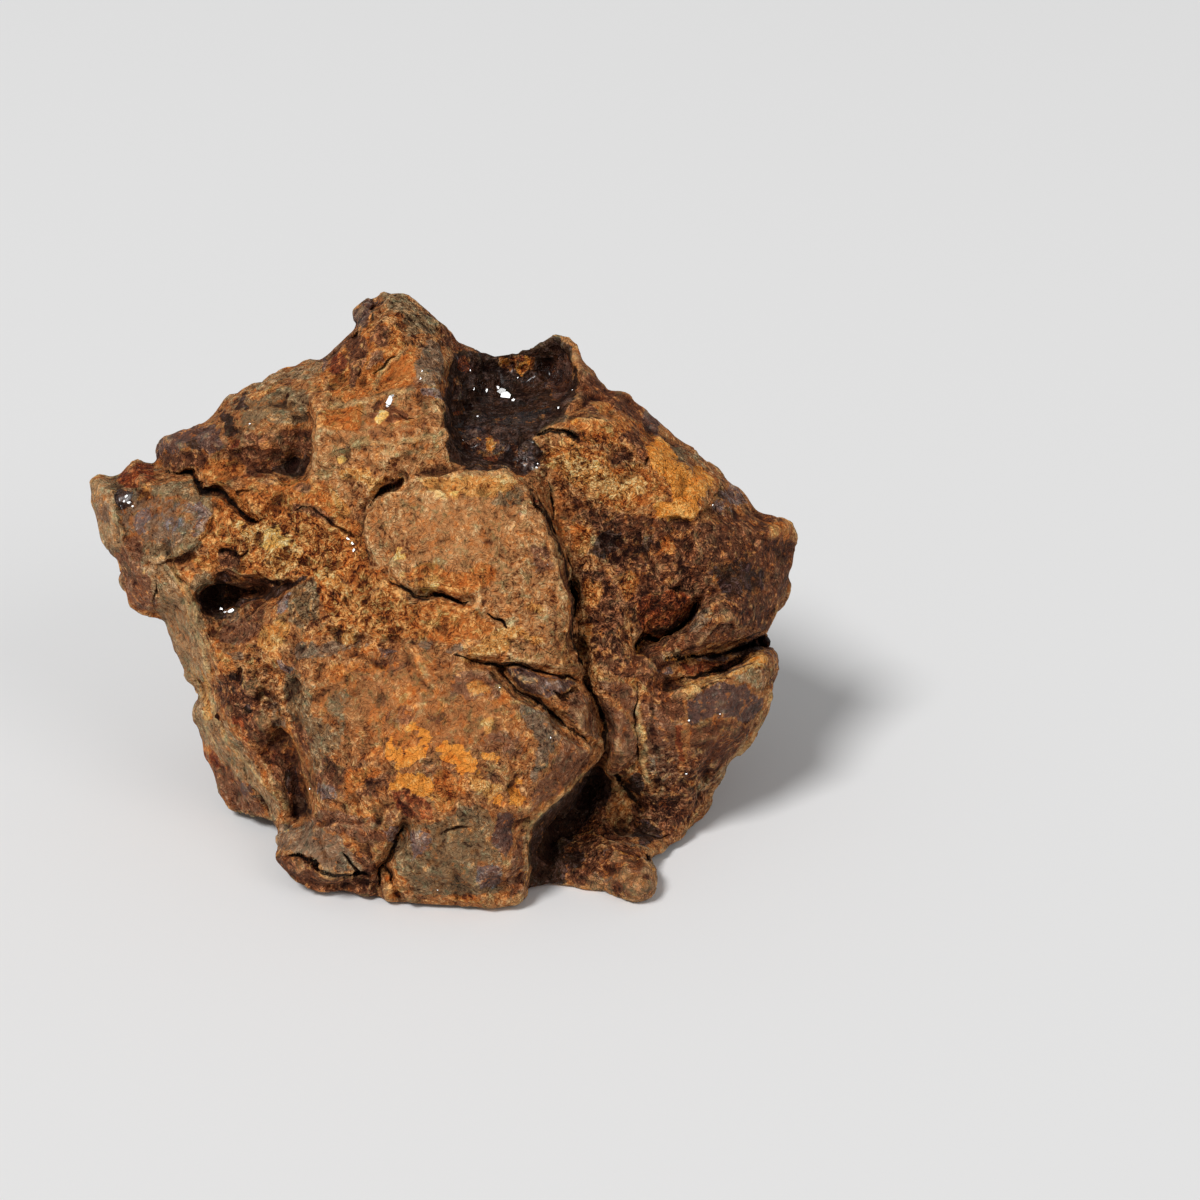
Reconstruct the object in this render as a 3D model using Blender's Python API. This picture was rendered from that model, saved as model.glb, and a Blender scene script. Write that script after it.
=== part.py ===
"""A weathered pallasite meteorite: one rusted stone, 28 mm across, standing on a small flat spot.

The stone is laid out on its broken face, the side that it shows. A point of the face has u to the
right, v up the face and w out of it, in millimetres. The face leans back, and its u and v are read
as the eye sees them from VIEW_DISTANCE in front, so a change of w never moves a ledge sideways.
"""

import math

import bpy
import numpy as np
from mathutils import Vector, noise
from mathutils.geometry import delaunay_2d_cdt

MM = 0.001

# How the face stands
FACE_LEAN = math.radians(26.4)  # the face leans back this far from upright
FACE_HEIGHT = 9.2  # the face's origin above the ground
VIEW_DISTANCE = 101.5  # the eye is this far out from the face's origin
VIEW_SIDE = 6.4  # and this far to its right
BASE_CENTRE = (0.15, 1.41)  # x and y of the middle of the stone's box, which becomes the origin

# How fine the stone is made
GRAIN = 0.2  # side of the cells that the blank is rebuilt in
SMOOTH_ROUNDS = 3
TRIANGLES = 9200
ROCK_SEED = 11

# The flat spot that the stone rests on, in the ground plane
FLAT_CENTRE = (-0.6, 2.4)
FLAT_HALF = (5.6, 3.6)
UNDERSIDE_RISE = 0.45  # the rough underside stands this far off the ground round the flat spot

# The outline of the stone as seen, clockwise from the left end: (u, v, w)
OUTLINE = {
    "left block": [
        (-14.1, 4.7, -1.0), (-13.9, 3.4, -0.9), (-13.4, 2.0, -0.9), (-12.8, 0.9, -1.0),
        (-12.5, 0.0, -1.2), (-12.0, -0.4, -1.4), (-11.3, -0.6, -1.6),
    ],
    "left flank": [(-10.85, -1.2, -1.8), (-10.6, -2.0, -2.0), (-10.2, -2.9, -2.0), (-9.6, -3.6, -1.8)],
    "lobe behind the flank": [
        (-9.9, -4.0, -3.6), (-10.05, -4.6, -4.0), (-9.7, -5.6, -3.8), (-9.2, -6.9, -3.2),
        (-8.6, -7.9, -2.6), (-8.0, -8.7, -2.0), (-7.5, -8.9, -1.7), (-6.75, -8.7, -1.2),
    ],
    "lower left ledge": [
        (-6.65, -9.4, 0.9), (-6.6, -10.2, 1.2), (-6.0, -11.3, 2.2), (-5.2, -11.7, 2.7),
        (-4.6, -11.6, 2.8), (-3.6, -11.85, 3.1), (-2.6, -12.1, 3.2),
    ],
    "great plate": [
        (-1.0, -12.1, 3.2), (0.5, -12.25, 3.4), (1.2, -12.15, 3.3), (2.1, -12.4, 3.5),
        (3.4, -12.2, 3.4), (3.6, -11.6, 2.6),
    ],
    "foot": [
        (4.6, -11.45, 2.2), (6.4, -11.6, 2.4), (7.8, -12.1, 3.1), (8.5, -11.6, 2.6),
        (8.7, -11.1, 2.0), (8.4, -10.6, 1.6), (8.1, -10.3, 1.2),
    ],
    "lower right face": [
        (8.8, -10.0, 0.3), (9.6, -9.7, -0.3), (9.7, -9.4, -0.8), (10.6, -8.6, -1.8),
        (11.0, -7.6, -2.0), (11.7, -6.4, -1.8), (12.6, -5.4, -1.6), (13.2, -4.5, -1.4),
        (13.4, -3.0, -1.4), (13.35, -1.9, -1.6),
    ],
    "notch": [(13.0, -1.6, -3.0), (13.25, -1.4, -1.8)],
    "right end": [
        (13.25, -0.9, -1.8), (13.8, 0.0, -2.2), (14.0, 1.0, -2.4), (14.35, 2.0, -2.4),
        (14.3, 2.7, -2.2), (13.8, 3.3, -2.0), (13.0, 3.5, -1.6), (12.6, 3.7, -1.6),
    ],
    "right slope": [
        (12.3, 4.2, -1.6), (11.6, 4.8, -1.6), (10.8, 5.4, -1.4), (9.6, 6.2, -1.4),
        (9.0, 6.9, -1.4), (8.3, 7.7, -1.4), (7.3, 8.4, -1.2), (6.6, 8.6, -1.0),
        (6.0, 9.3, -1.2), (5.4, 10.2, -1.2), (4.95, 10.55, -1.2), (4.4, 10.55, -1.2),
    ],
    "rim of the dark bowl": [
        (4.1, 10.35, -1.4), (3.2, 10.15, -1.6), (2.1, 9.85, -1.6), (1.5, 9.9, -1.4),
        (1.0, 10.2, -1.0), (0.0, 11.1, -0.6), (-0.6, 11.6, -0.4),
    ],
    "peak": [
        (-1.2, 12.2, -0.4), (-2.0, 12.5, -0.4), (-2.35, 12.3, -0.6), (-2.6, 12.0, -1.2),
        (-3.0, 12.1, -1.2), (-3.4, 11.7, -1.2), (-3.6, 11.0, -1.4),
    ],
    "left shoulder": [
        (-4.3, 10.1, -1.4), (-4.9, 9.8, -1.6), (-5.8, 9.3, -1.8), (-6.6, 9.05, -1.8),
        (-7.8, 8.7, -1.8), (-8.4, 8.3, -1.6), (-9.3, 7.3, -1.4), (-10.4, 6.8, -1.2),
        (-11.2, 6.5, -1.2), (-11.4, 6.2, -1.2),
    ],
    "gully": [(-11.2, 5.7, -2.0), (-11.4, 5.45, -2.4), (-12.1, 5.65, -1.2), (-13.0, 5.0, -0.8), (-13.9, 4.95, -1.0)],
}

# Edges of the face: the brinks and feet of its ledges, and its ridges and ditches, as lines of (u, v, w)
EDGES = {
    "left block, corner": [(-13.4, 4.5, 0.2), (-12.9, 2.8, 0.6), (-12.2, 1.2, 0.7), (-11.6, 0.2, 0.4)],
    "flank, brink": [
        (-11.2, 1.4, 1.4), (-9.95, 0.3, 1.9), (-9.6, -0.8, 1.8), (-9.25, -1.8, 1.8), (-9.0, -3.0, 1.8),
        (-8.6, -4.0, 1.8), (-7.9, -5.2, 1.7), (-7.3, -6.4, 1.6), (-6.95, -7.6, 1.5), (-6.6, -8.5, 1.1),
    ],
    "flank, foot": [(-9.5, -4.2, -0.5), (-9.1, -5.4, -0.6), (-8.1, -6.6, -0.4), (-7.1, -7.9, 0.2)],
    "lobe, crest": [(-9.6, -4.5, -2.4), (-9.2, -5.9, -2.2), (-8.3, -7.0, -1.7), (-7.2, -8.3, -0.8)],
    "shoulder, crest": [
        (-10.3, 6.2, 0.4), (-8.9, 7.0, 0.4), (-8.0, 8.0, 0.2), (-6.4, 8.5, 0.4), (-5.0, 9.0, 0.6),
        (-3.9, 9.8, 0.6), (-3.1, 10.7, 0.6),
    ],
    "shoulder, foot": [(-9.9, 5.7, 0.2), (-9.0, 5.3, 0.9), (-8.0, 5.1, 1.3), (-6.9, 5.2, 1.2), (-6.0, 5.3, 0.6)],
    "shoulder, lower ledge": [(-8.9, 4.75, 1.9), (-7.6, 4.6, 2.3), (-6.4, 4.7, 2.6), (-5.5, 4.8, 2.7)],
    "beside the banded plate": [(-5.6, 5.5, 0.5), (-5.55, 6.4, 1.0), (-5.5, 7.3, 1.4)],
    "banded plate, left edge": [(-5.1, 8.0, 2.2), (-4.95, 6.8, 3.3), (-5.0, 5.8, 3.2), (-5.1, 5.0, 3.0)],
    "knob, right side": [(-2.7, 11.8, -1.2), (-2.9, 11.1, -0.8), (-3.5, 10.5, -0.2)],
    "peak, left ridge": [(-2.4, 11.4, 0.7), (-2.6, 10.6, 1.3), (-2.9, 9.7, 1.7)],
    "banded plate, top": [(-4.6, 7.9, 2.5), (-3.0, 8.2, 2.7), (-1.6, 8.4, 3.0), (-0.2, 8.4, 3.2)],
    "banded plate, brink": [(0.1, 7.7, 3.7), (0.35, 6.7, 3.9), (0.3, 5.7, 3.9)],
    "banded plate, foot": [(0.5, 8.5, 0.8), (0.65, 7.5, 0.3), (0.9, 6.6, 1.2), (0.8, 5.7, 2.4)],
    "peak, right ridge": [(-1.0, 11.2, 0.9), (-0.3, 10.4, 1.3), (0.1, 9.4, 1.9)],
    "bowl, left wall": [(0.8, 9.9, 0.0), (1.1, 9.0, -0.6), (1.3, 8.0, -0.8)],
    "bowl, floor": [(1.9, 9.1, -2.2), (2.5, 8.3, -2.2), (3.5, 8.6, -2.6), (4.4, 9.3, -2.4), (4.8, 8.6, -1.6)],
    "bowl, right wall": [(5.4, 9.7, -0.2), (5.8, 8.8, 0.4), (5.6, 8.0, 0.8)],
    "bowl, lip": [(1.4, 6.9, 1.4), (2.8, 6.8, 1.6), (4.2, 6.7, 2.3), (5.0, 7.2, 2.4), (6.0, 7.6, 2.0)],
    "central plate, brink": [
        (0.9, 5.3, 4.1), (2.6, 5.15, 4.2), (3.5, 4.7, 4.2), (4.2, 3.5, 4.6), (4.7, 2.0, 4.8),
        (4.95, 0.5, 5.0), (5.1, -1.0, 5.0), (5.3, -2.3, 4.6),
    ],
    "central plate, foot": [
        (1.6, 5.7, 2.4), (3.0, 5.6, 2.3), (4.1, 4.9, 2.0), (4.7, 3.7, 2.0), (5.1, 2.2, 2.0),
        (5.4, 0.5, 2.2), (5.6, -1.0, 2.6), (5.8, -2.4, 3.0),
    ],
    "recess, lip": [(-9.0, 1.1, 1.9), (-8.2, 1.0, 1.8), (-7.2, 1.0, 2.3), (-5.4, 0.95, 3.1)],
    "recess, floor": [(-9.2, 0.3, -1.2), (-8.4, 0.3, -1.8), (-7.4, 0.3, -0.8), (-6.4, 0.45, 1.2)],
    "recess, sill": [(-9.2, -1.1, 1.3), (-8.3, -1.0, 1.6), (-7.2, -0.5, 2.5), (-6.0, 0.0, 3.2)],
    "ditch": [(-6.5, -4.1, 2.0), (-6.2, -5.2, 1.2), (-5.8, -6.4, 1.0), (-5.5, -7.6, 0.9), (-5.6, -8.5, 0.9)],
    "great plate, left edge": [(-5.7, -4.2, 3.9), (-5.2, -5.6, 3.9), (-4.8, -7.0, 3.8), (-4.7, -8.3, 3.8)],
    "lower left ledge, brink": [(-6.1, -9.9, 2.0), (-5.2, -10.2, 3.0), (-4.2, -10.8, 3.6), (-3.2, -11.0, 3.8)],
    "lower left ledge, foot": [(-5.9, -10.5, 1.8), (-5.1, -10.9, 2.1), (-4.2, -11.3, 2.7)],
    "great plate, brink": [
        (6.0, -5.9, 4.6), (5.5, -6.9, 4.5), (4.9, -7.9, 4.7), (4.0, -8.75, 4.7), (3.5, -9.6, 4.6),
        (3.4, -10.7, 4.3), (3.4, -11.5, 3.9),
    ],
    "hollow, back": [
        (6.2, -6.7, -0.6), (5.8, -7.5, -1.8), (5.1, -8.4, -1.0), (4.3, -9.2, 0.2), (3.9, -10.0, 1.4),
        (3.8, -10.8, 2.2),
    ],
    "hollow, far wall": [(6.8, -7.2, 0.2), (6.5, -8.2, 0.0), (5.8, -9.4, 0.6), (5.2, -10.6, 2.0)],
    "foot, crest": [(6.5, -8.9, 0.3), (6.9, -9.8, 1.3), (7.4, -10.7, 2.4), (7.8, -11.5, 3.2)],
    "column, crest": [(6.6, -3.3, 3.6), (7.1, -4.6, 3.4), (7.2, -6.0, 2.8), (7.0, -7.0, 1.6)],
    "column, left foot": [(6.1, -3.5, 3.2), (6.5, -4.5, 2.8), (6.6, -5.6, 2.4), (6.4, -6.3, 2.0)],
    "column, right foot": [(7.8, -3.8, 2.6), (7.85, -5.4, 2.3), (7.9, -6.8, 1.3), (7.6, -8.0, 0.0), (7.7, -9.0, -0.6)],
    "right notch, floor": [(12.6, -1.75, -2.0), (11.8, -2.15, -0.6), (10.8, -2.5, 0.6), (9.6, -3.0, 1.6)],
    "right notch, upper lip": [(12.9, -1.2, 0.4), (11.9, -1.6, 1.6), (10.8, -2.0, 2.2), (9.4, -2.4, 2.6)],
    "lower right face, rim": [(12.9, -2.2, 0.9), (11.9, -2.7, 1.7), (10.8, -3.2, 2.2), (9.6, -3.6, 2.5), (8.6, -3.9, 2.6)],
    "crevice, foot": [(10.5, 0.0, 1.3), (9.8, -0.8, 1.0), (8.9, -1.4, 1.2), (8.2, -1.7, 1.9)],
    "crevice, brink": [(10.9, -0.3, 2.5), (10.1, -1.2, 2.6), (9.2, -1.7, 2.6)],
}

# Single points of the face between its edges: (u, v, w)
FACE_POINTS = {
    "left block": [(-12.2, 4.9, 0.2), (-11.0, 4.3, 1.2), (-9.9, 4.4, 1.5), (-11.0, 2.8, 1.7), (-9.5, 2.8, 2.1), (-9.8, 1.5, 2.0)],
    "gully": [(-10.7, 5.2, -0.2)],
    "shoulder": [
        (-9.4, 6.3, 1.1), (-8.4, 6.2, 1.7), (-7.0, 7.4, 1.6), (-7.2, 6.2, 2.1), (-6.2, 7.0, 1.9), (-6.3, 6.1, 1.8),
    ],
    "peak": [(-3.2, 11.5, -0.1), (-1.8, 11.8, 0.4), (-1.6, 10.6, 1.4), (-1.2, 9.6, 2.3), (-2.1, 9.2, 1.9), (-3.8, 9.1, 1.4)],
    "banded plate": [(-3.4, 7.2, 3.2), (-1.4, 7.2, 3.6), (-3.2, 5.8, 3.5), (-1.2, 5.8, 4.0), (-3.8, 4.6, 3.3)],
    "below the bowl": [(2.0, 6.2, 2.4), (3.4, 6.1, 2.6)],
    "upper right": [
        (5.6, 6.2, 2.8), (7.4, 6.6, 1.9), (8.4, 5.8, 1.9), (9.4, 5.4, 1.7), (10.6, 4.6, 1.3), (11.3, 4.0, 0.4),
        (6.2, 4.6, 3.2), (8.0, 4.2, 2.8), (10.0, 3.4, 2.3), (11.9, 2.9, 1.1), (13.3, 2.7, 0.0),
        (6.4, 2.6, 2.8), (7.6, 2.2, 2.2), (8.7, 1.4, 2.4), (10.3, 1.6, 2.4), (12.2, 1.0, 1.3), (13.3, 0.6, -0.4),
        (6.3, 0.8, 3.0), (7.4, -0.4, 3.0), (9.2, 0.3, 2.5), (11.6, -0.6, 2.4), (12.7, -0.5, 0.9), (6.6, -1.8, 3.3), (8.2, -2.7, 2.9),
    ],
    "lower right face": [
        (12.7, -3.4, 0.8), (11.6, -4.0, 1.8), (10.2, -4.6, 2.3), (9.0, -5.2, 2.4), (10.8, -5.6, 1.6), (11.7, -5.4, 0.6),
        (9.0, -6.8, 1.4), (10.2, -7.0, 0.8), (8.7, -8.2, 0.4), (9.9, -8.4, -0.2), (8.9, -9.4, 0.2),
    ],
    "central plate": [(2.0, 3.6, 4.7), (0.0, 4.2, 4.5), (-1.8, 4.0, 4.2), (2.6, 1.2, 5.4), (0.2, 1.6, 5.4), (3.9, -0.6, 5.4), (-1.6, 1.2, 5.0), (1.2, -0.8, 5.4), (3.4, -2.0, 5.3)],
    "granular valley": [
        (-8.0, 3.4, 2.5), (-7.0, 2.2, 1.8), (-8.4, 2.0, 2.0), (-5.6, 3.4, 3.0), (-5.2, 1.8, 2.7), (-3.8, 2.6, 3.2),
        (-3.0, 1.2, 3.8), (-6.2, 4.4, 2.4), (-3.4, -0.4, 4.2), (-1.4, -0.8, 4.8),
    ],
    "great plate": [
        (-8.6, -2.2, 2.1), (-7.2, -2.2, 2.9), (-7.6, -3.6, 2.5), (-7.2, -5.2, 2.1), (-6.5, -7.0, 1.9), (-6.1, -8.3, 1.7),
        (-5.4, -1.2, 3.7), (-5.0, -3.0, 4.0), (-2.8, -2.6, 4.7), (-0.6, -2.4, 5.2), (1.0, -3.6, 5.6), (2.8, -3.4, 5.5),
        (4.6, -3.4, 5.1), (5.6, -4.6, 4.8), (3.0, -5.2, 6.0), (-3.8, -5.0, 4.7), (-1.2, -5.2, 5.8), (1.4, -6.4, 6.3), (4.3, -6.6, 5.9),
        (-3.2, -7.6, 4.7), (-0.8, -8.0, 5.9), (1.8, -8.2, 6.1), (3.4, -8.3, 5.6), (-5.4, -9.4, 2.9), (-3.8, -9.2, 4.0),
        (-1.8, -9.8, 4.9), (0.6, -10.0, 5.6), (2.6, -10.2, 5.1), (-2.4, -11.4, 3.9), (-0.6, -11.4, 4.3), (1.6, -11.6, 4.5),
    ],
    "foot": [(6.2, -10.8, 1.8), (8.1, -11.0, 2.6), (7.7, -10.0, 1.6)],
}

# The far side of the stone: (u, v, w)
BACK_POINTS = {
    "behind the crest": [
        (-2.0, 11.3, -3.0), (-3.3, 10.2, -3.6), (1.8, 9.0, -4.8), (4.6, 9.5, -4.6), (6.6, 7.8, -4.8),
        (9.0, 5.9, -4.6), (11.4, 3.9, -4.8), (-7.6, 7.7, -4.8), (-10.4, 5.9, -4.2),
    ],
    "left end": [(-12.8, 4.2, -4.0), (-12.2, 1.6, -4.4), (-10.2, -1.0, -5.6), (-9.0, -4.6, -6.6), (-8.2, -6.8, -5.4)],
    "right end": [
        (13.0, 2.2, -5.4), (12.8, 0.0, -5.6), (12.2, -2.4, -5.2), (12.0, -4.2, -5.0), (10.6, -6.4, -4.8),
        (9.4, -8.0, -3.4),
    ],
    "shoulders": [
        (-9.2, 4.0, -7.4), (-5.0, 6.8, -7.2), (-1.0, 8.2, -6.6), (3.4, 7.2, -7.6), (6.4, 5.0, -8.4),
        (9.6, 2.4, -8.2), (10.4, -1.4, -8.2), (8.6, -4.4, -8.8), (-8.6, 0.4, -8.8), (-7.6, -3.4, -9.4),
    ],
    "belly": [
        (-4.6, 3.2, -10.8), (0.2, 4.6, -11.0), (4.2, 2.0, -12.2), (-2.2, 0.0, -13.2), (6.4, -1.4, -11.6),
        (2.2, -2.6, -13.6), (-5.4, -1.6, -12.2),
    ],
    "underside": [(-6.0, -6.0, -8.4), (0.0, -6.0, -10.0), (6.0, -6.0, -9.4), (-3.0, -9.0, -4.6), (2.0, -9.5, -4.6), (6.5, -9.6, -3.0)],
}

# Flat breaks of the far side: where they face, in degrees round from +X and up, and how far they lie
# from BREAK_CENTRE
BREAK_CENTRE = (0.0, 0.0, 9.0)
BREAK_SHARE = 0.85  # this much of what stands beyond a break is gone
BREAKS = {
    "upper back": (78, 42, 8.9),
    "left back": (143, 18, 9.6),
    "right back": (40, 12, 10.0),
    "lower back": (104, -14, 8.9),
    "lower right": (8, -34, 11.0),
    "left end": (172, -26, 11.6),
}

# Cracks of the face: their line in (u, v), then half their width and their depth
CRACKS = {
    "gully to valley": (
        [(-11.3, 5.35), (-10.4, 5.0), (-9.9, 5.1), (-9.5, 4.45), (-8.6, 4.35), (-8.2, 3.85), (-7.4, 3.2)], 0.2, 0.6,
    ),
    "central plate, left": ([(-2.95, 3.7), (-2.6, 4.1), (-2.2, 4.5), (-1.5, 4.9)], 0.2, 0.5),
    "central plate, lower": (
        [(-2.2, 1.0), (-1.5, 0.55), (-0.9, 0.1), (-0.3, 0.25), (0.2, 0.1), (0.7, -0.1), (1.2, 0.0)], 0.2, 0.6,
    ),
    "central plate, right": (
        [(3.6, 4.6), (4.3, 4.0), (4.7, 2.6), (5.15, 1.0), (5.4, 0.1), (5.4, -1.4), (5.8, -2.6), (6.0, -3.2)], 0.24, 0.8,
    ),
    "wedge, top": ([(1.2, -2.45), (2.2, -2.65), (3.4, -2.75), (4.6, -3.0), (5.8, -3.25)], 0.2, 0.6),
    "wedge, lower": ([(2.4, -2.8), (3.1, -3.6), (4.1, -4.2), (5.2, -5.2), (6.15, -5.8)], 0.24, 1.0),
    "column": ([(5.9, -3.3), (6.3, -4.2), (6.7, -5.0), (6.7, -6.0), (6.4, -6.6)], 0.22, 0.9),
    "crevice": ([(10.4, 0.0), (9.9, -0.8), (9.2, -1.4), (8.4, -1.6), (7.9, -2.1)], 0.22, 0.8),
    "notch, upper": ([(13.1, -1.55), (12.2, -1.85), (11.2, -2.15), (9.9, -2.35)], 0.24, 0.9),
    "notch, lower": ([(12.1, -2.3), (11.2, -2.85), (10.2, -3.2), (9.2, -3.4)], 0.2, 0.6),
    "lower edge": ([(-1.45, -9.0), (-1.8, -9.9), (-2.3, -10.6), (-2.5, -11.3), (-2.5, -12.0)], 0.24, 0.9),
    "lower edge, branch": ([(-2.2, -10.7), (-1.9, -11.3), (-1.5, -12.0)], 0.2, 0.6),
    "lower left ledge": ([(-6.2, -10.3), (-5.4, -10.55), (-4.6, -11.1), (-3.2, -11.45)], 0.24, 0.6),
    "peak, slit": ([(-2.15, 9.6), (-2.6, 9.1), (-3.1, 8.8)], 0.2, 0.5),
    "lower right": ([(7.2, -7.0), (7.5, -7.7), (8.1, -8.3)], 0.22, 0.6),
}


def to_ground(points):
    """Face points (u, v, w) as x, y, z in millimetres, z up from the ground."""
    u, v, w = np.asarray(points, float).T
    nearer = (VIEW_DISTANCE - w) / VIEW_DISTANCE
    across = VIEW_SIDE + (u - VIEW_SIDE) * nearer
    up = v * nearer
    lean_sin, lean_cos = math.sin(FACE_LEAN), math.cos(FACE_LEAN)
    return np.column_stack([
        across - BASE_CENTRE[0],
        up * lean_sin - w * lean_cos - BASE_CENTRE[1],
        up * lean_cos + w * lean_sin + FACE_HEIGHT,
    ])


def to_face(points):
    """The inverse of to_ground."""
    x, y, z = np.asarray(points, float).T
    lean_sin, lean_cos = math.sin(FACE_LEAN), math.cos(FACE_LEAN)
    across, y, z = x + BASE_CENTRE[0], y + BASE_CENTRE[1], z - FACE_HEIGHT
    up = y * lean_sin + z * lean_cos
    w = z * lean_sin - y * lean_cos
    nearer = (VIEW_DISTANCE - w) / VIEW_DISTANCE
    return np.column_stack([VIEW_SIDE + (across - VIEW_SIDE) / nearer, up / nearer, w])


def relief(outline, lines, points):
    """One side of the stone as (points, triangles): its outline first, then what lies inside it."""
    places = list(outline)
    edges = []
    for line in lines:
        first = len(places)
        places += line
        edges += [(i, i + 1) for i in range(first, len(places) - 1)]
    places += points
    flat = [Vector(place[:2]) for place in places]
    verts, _, faces, sources, _, _ = delaunay_2d_cdt(flat, edges, [list(range(len(outline)))], 1, 1e-6)
    if len(verts) != len(places):
        raise ValueError("two edges of the face cross, or two of its points coincide")
    order = [source[0] for source in sources]
    return places, [[order[i] for i in face] for face in faces]


def all_of(groups):
    """The points of a table of groups, in one list."""
    return [point for group in groups.values() for point in group]


def blank_mesh():
    """The rough stone: its face and its far side, joined at the outline."""
    outline = all_of(OUTLINE)
    face, face_triangles = relief(outline, list(EDGES.values()), all_of(FACE_POINTS))
    back, back_triangles = relief(outline, [], all_of(BACK_POINTS))
    shift = len(face) - len(outline)
    far = [[i if i < len(outline) else i + shift for i in triangle[::-1]] for triangle in back_triangles]
    mesh = bpy.data.meshes.new("blank")
    mesh.from_pydata(to_ground(face + back[len(outline):]).tolist(), [], face_triangles + far)
    mesh.validate()
    return mesh


def with_modifiers(mesh, *settings):
    """The mesh after these modifiers, each given as (type, its settings)."""
    holder = bpy.data.objects.new("holder", mesh)
    bpy.context.scene.collection.objects.link(holder)
    for kind, values in settings:
        modifier = holder.modifiers.new(kind.title(), kind)
        for name, value in values.items():
            setattr(modifier, name, value)
    graph = bpy.context.evaluated_depsgraph_get()
    made = bpy.data.meshes.new_from_object(holder.evaluated_get(graph))
    bpy.data.objects.remove(holder)
    bpy.data.meshes.remove(mesh)
    return made


def read_points(mesh):
    """The mesh's points and their outward normals, as two arrays."""
    points = np.empty(len(mesh.vertices) * 3)
    normals = np.empty(len(mesh.vertices) * 3, np.float32)
    mesh.vertices.foreach_get("co", points)
    mesh.vertex_normals.foreach_get("vector", normals)
    return points.reshape(-1, 3), normals.reshape(-1, 3).astype(float)


def write_points(mesh, points):
    mesh.vertices.foreach_set("co", points.astype(np.float32).ravel())
    mesh.update()


def smoothstep(low, high, value):
    share = np.clip((value - low) / (high - low), 0.0, 1.0)
    return share * share * (3 - 2 * share)


def distance_to_line(places, line):
    """How far each (u, v) place is from a line of points."""
    nearest = np.full(len(places), np.inf)
    line = np.asarray(line, float)
    for start, end in zip(line[:-1], line[1:]):
        along = end - start
        share = np.clip((places - start) @ along / (along @ along), 0.0, 1.0)
        nearest = np.minimum(nearest, np.linalg.norm(places - start - share[:, None] * along, axis=1))
    return nearest


def rough(points, size, seed):
    """Smooth noise from -1 to 1, with lumps of about this size."""
    shift = Vector((seed * 7.31, seed * 3.77, seed * 5.19))
    return np.array([noise.noise(Vector(point) / size + shift) for point in points])


def flatten_breaks(points):
    """The far side is broken along flat faces, which leave the outline as it is."""
    centre = np.array(BREAK_CENTRE)
    behind = smoothstep(2.0, 5.0, -to_face(points)[:, 2])
    for compass, height, distance in BREAKS.values():
        compass, height = math.radians(compass), math.radians(height)
        outward = np.array([
            math.cos(compass) * math.cos(height),
            math.sin(compass) * math.cos(height),
            math.sin(height),
        ])
        excess = BREAK_SHARE * behind * np.maximum((points - centre) @ outward - distance, 0.0)
        points -= excess[:, None] * outward


def raise_underside(points):
    """The underside is a rough face just off the ground, with one flat spot that touches it."""
    spread = np.hypot(
        (points[:, 0] - FLAT_CENTRE[0]) / FLAT_HALF[0],
        (points[:, 1] - FLAT_CENTRE[1]) / FLAT_HALF[1],
    )
    ragged = spread + 0.16 * rough(points * (1, 1, 0), 2.4, ROCK_SEED)
    floor = UNDERSIDE_RISE * smoothstep(1.0, 1.5, ragged)
    floor *= 0.6 + 1.6 * np.abs(rough(points * (1, 1, 0), 1.9, ROCK_SEED + 4))
    front = to_face(points)[:, 1]
    floor *= smoothstep(-11.6, -9.5, front)
    points[:, 2] = np.maximum(points[:, 2], floor)


def cut_cracks(points, normals):
    """Cracks are pressed straight into the face, away from the eye."""
    face = to_face(points)
    toward_eye = np.array([0.0, -math.cos(FACE_LEAN), math.sin(FACE_LEAN)])
    open_to_eye = smoothstep(0.0, 0.3, normals @ toward_eye)
    for line, half_width, depth in CRACKS.values():
        away = distance_to_line(face[:, :2], line)
        face[:, 2] -= depth * open_to_eye * (1 - smoothstep(0.3 * half_width, 1.4 * half_width, away))
    points[:] = to_ground(face)


def chip_surface(points, normals):
    """Broken, lumpy relief all over, coarse and fine."""
    lumps = 0.34 * rough(points, 3.1, ROCK_SEED + 1)
    chips = 0.16 * np.abs(rough(points, 1.5, ROCK_SEED + 2)) - 0.05
    grains = 0.07 * rough(points, 0.7, ROCK_SEED + 3)
    toward_eye = np.array([0.0, -math.cos(FACE_LEAN), math.sin(FACE_LEAN)])
    hidden = smoothstep(0.1, -0.5, normals @ toward_eye)
    amount = lumps * (0.25 + 1.9 * hidden) + chips * (1 + 1.5 * hidden) + grains
    amount *= smoothstep(0.0, 0.8, points[:, 2])
    points += normals * amount[:, None]


def rust():
    """Brown weathered iron oxide."""
    material = bpy.data.materials.new("rust")
    material.use_nodes = True
    shader = material.node_tree.nodes["Principled BSDF"]
    shader.inputs["Base Color"].default_value = (0.23, 0.11, 0.045, 1)
    shader.inputs["Roughness"].default_value = 0.8
    shader.inputs["Metallic"].default_value = 0.1
    return material


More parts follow.
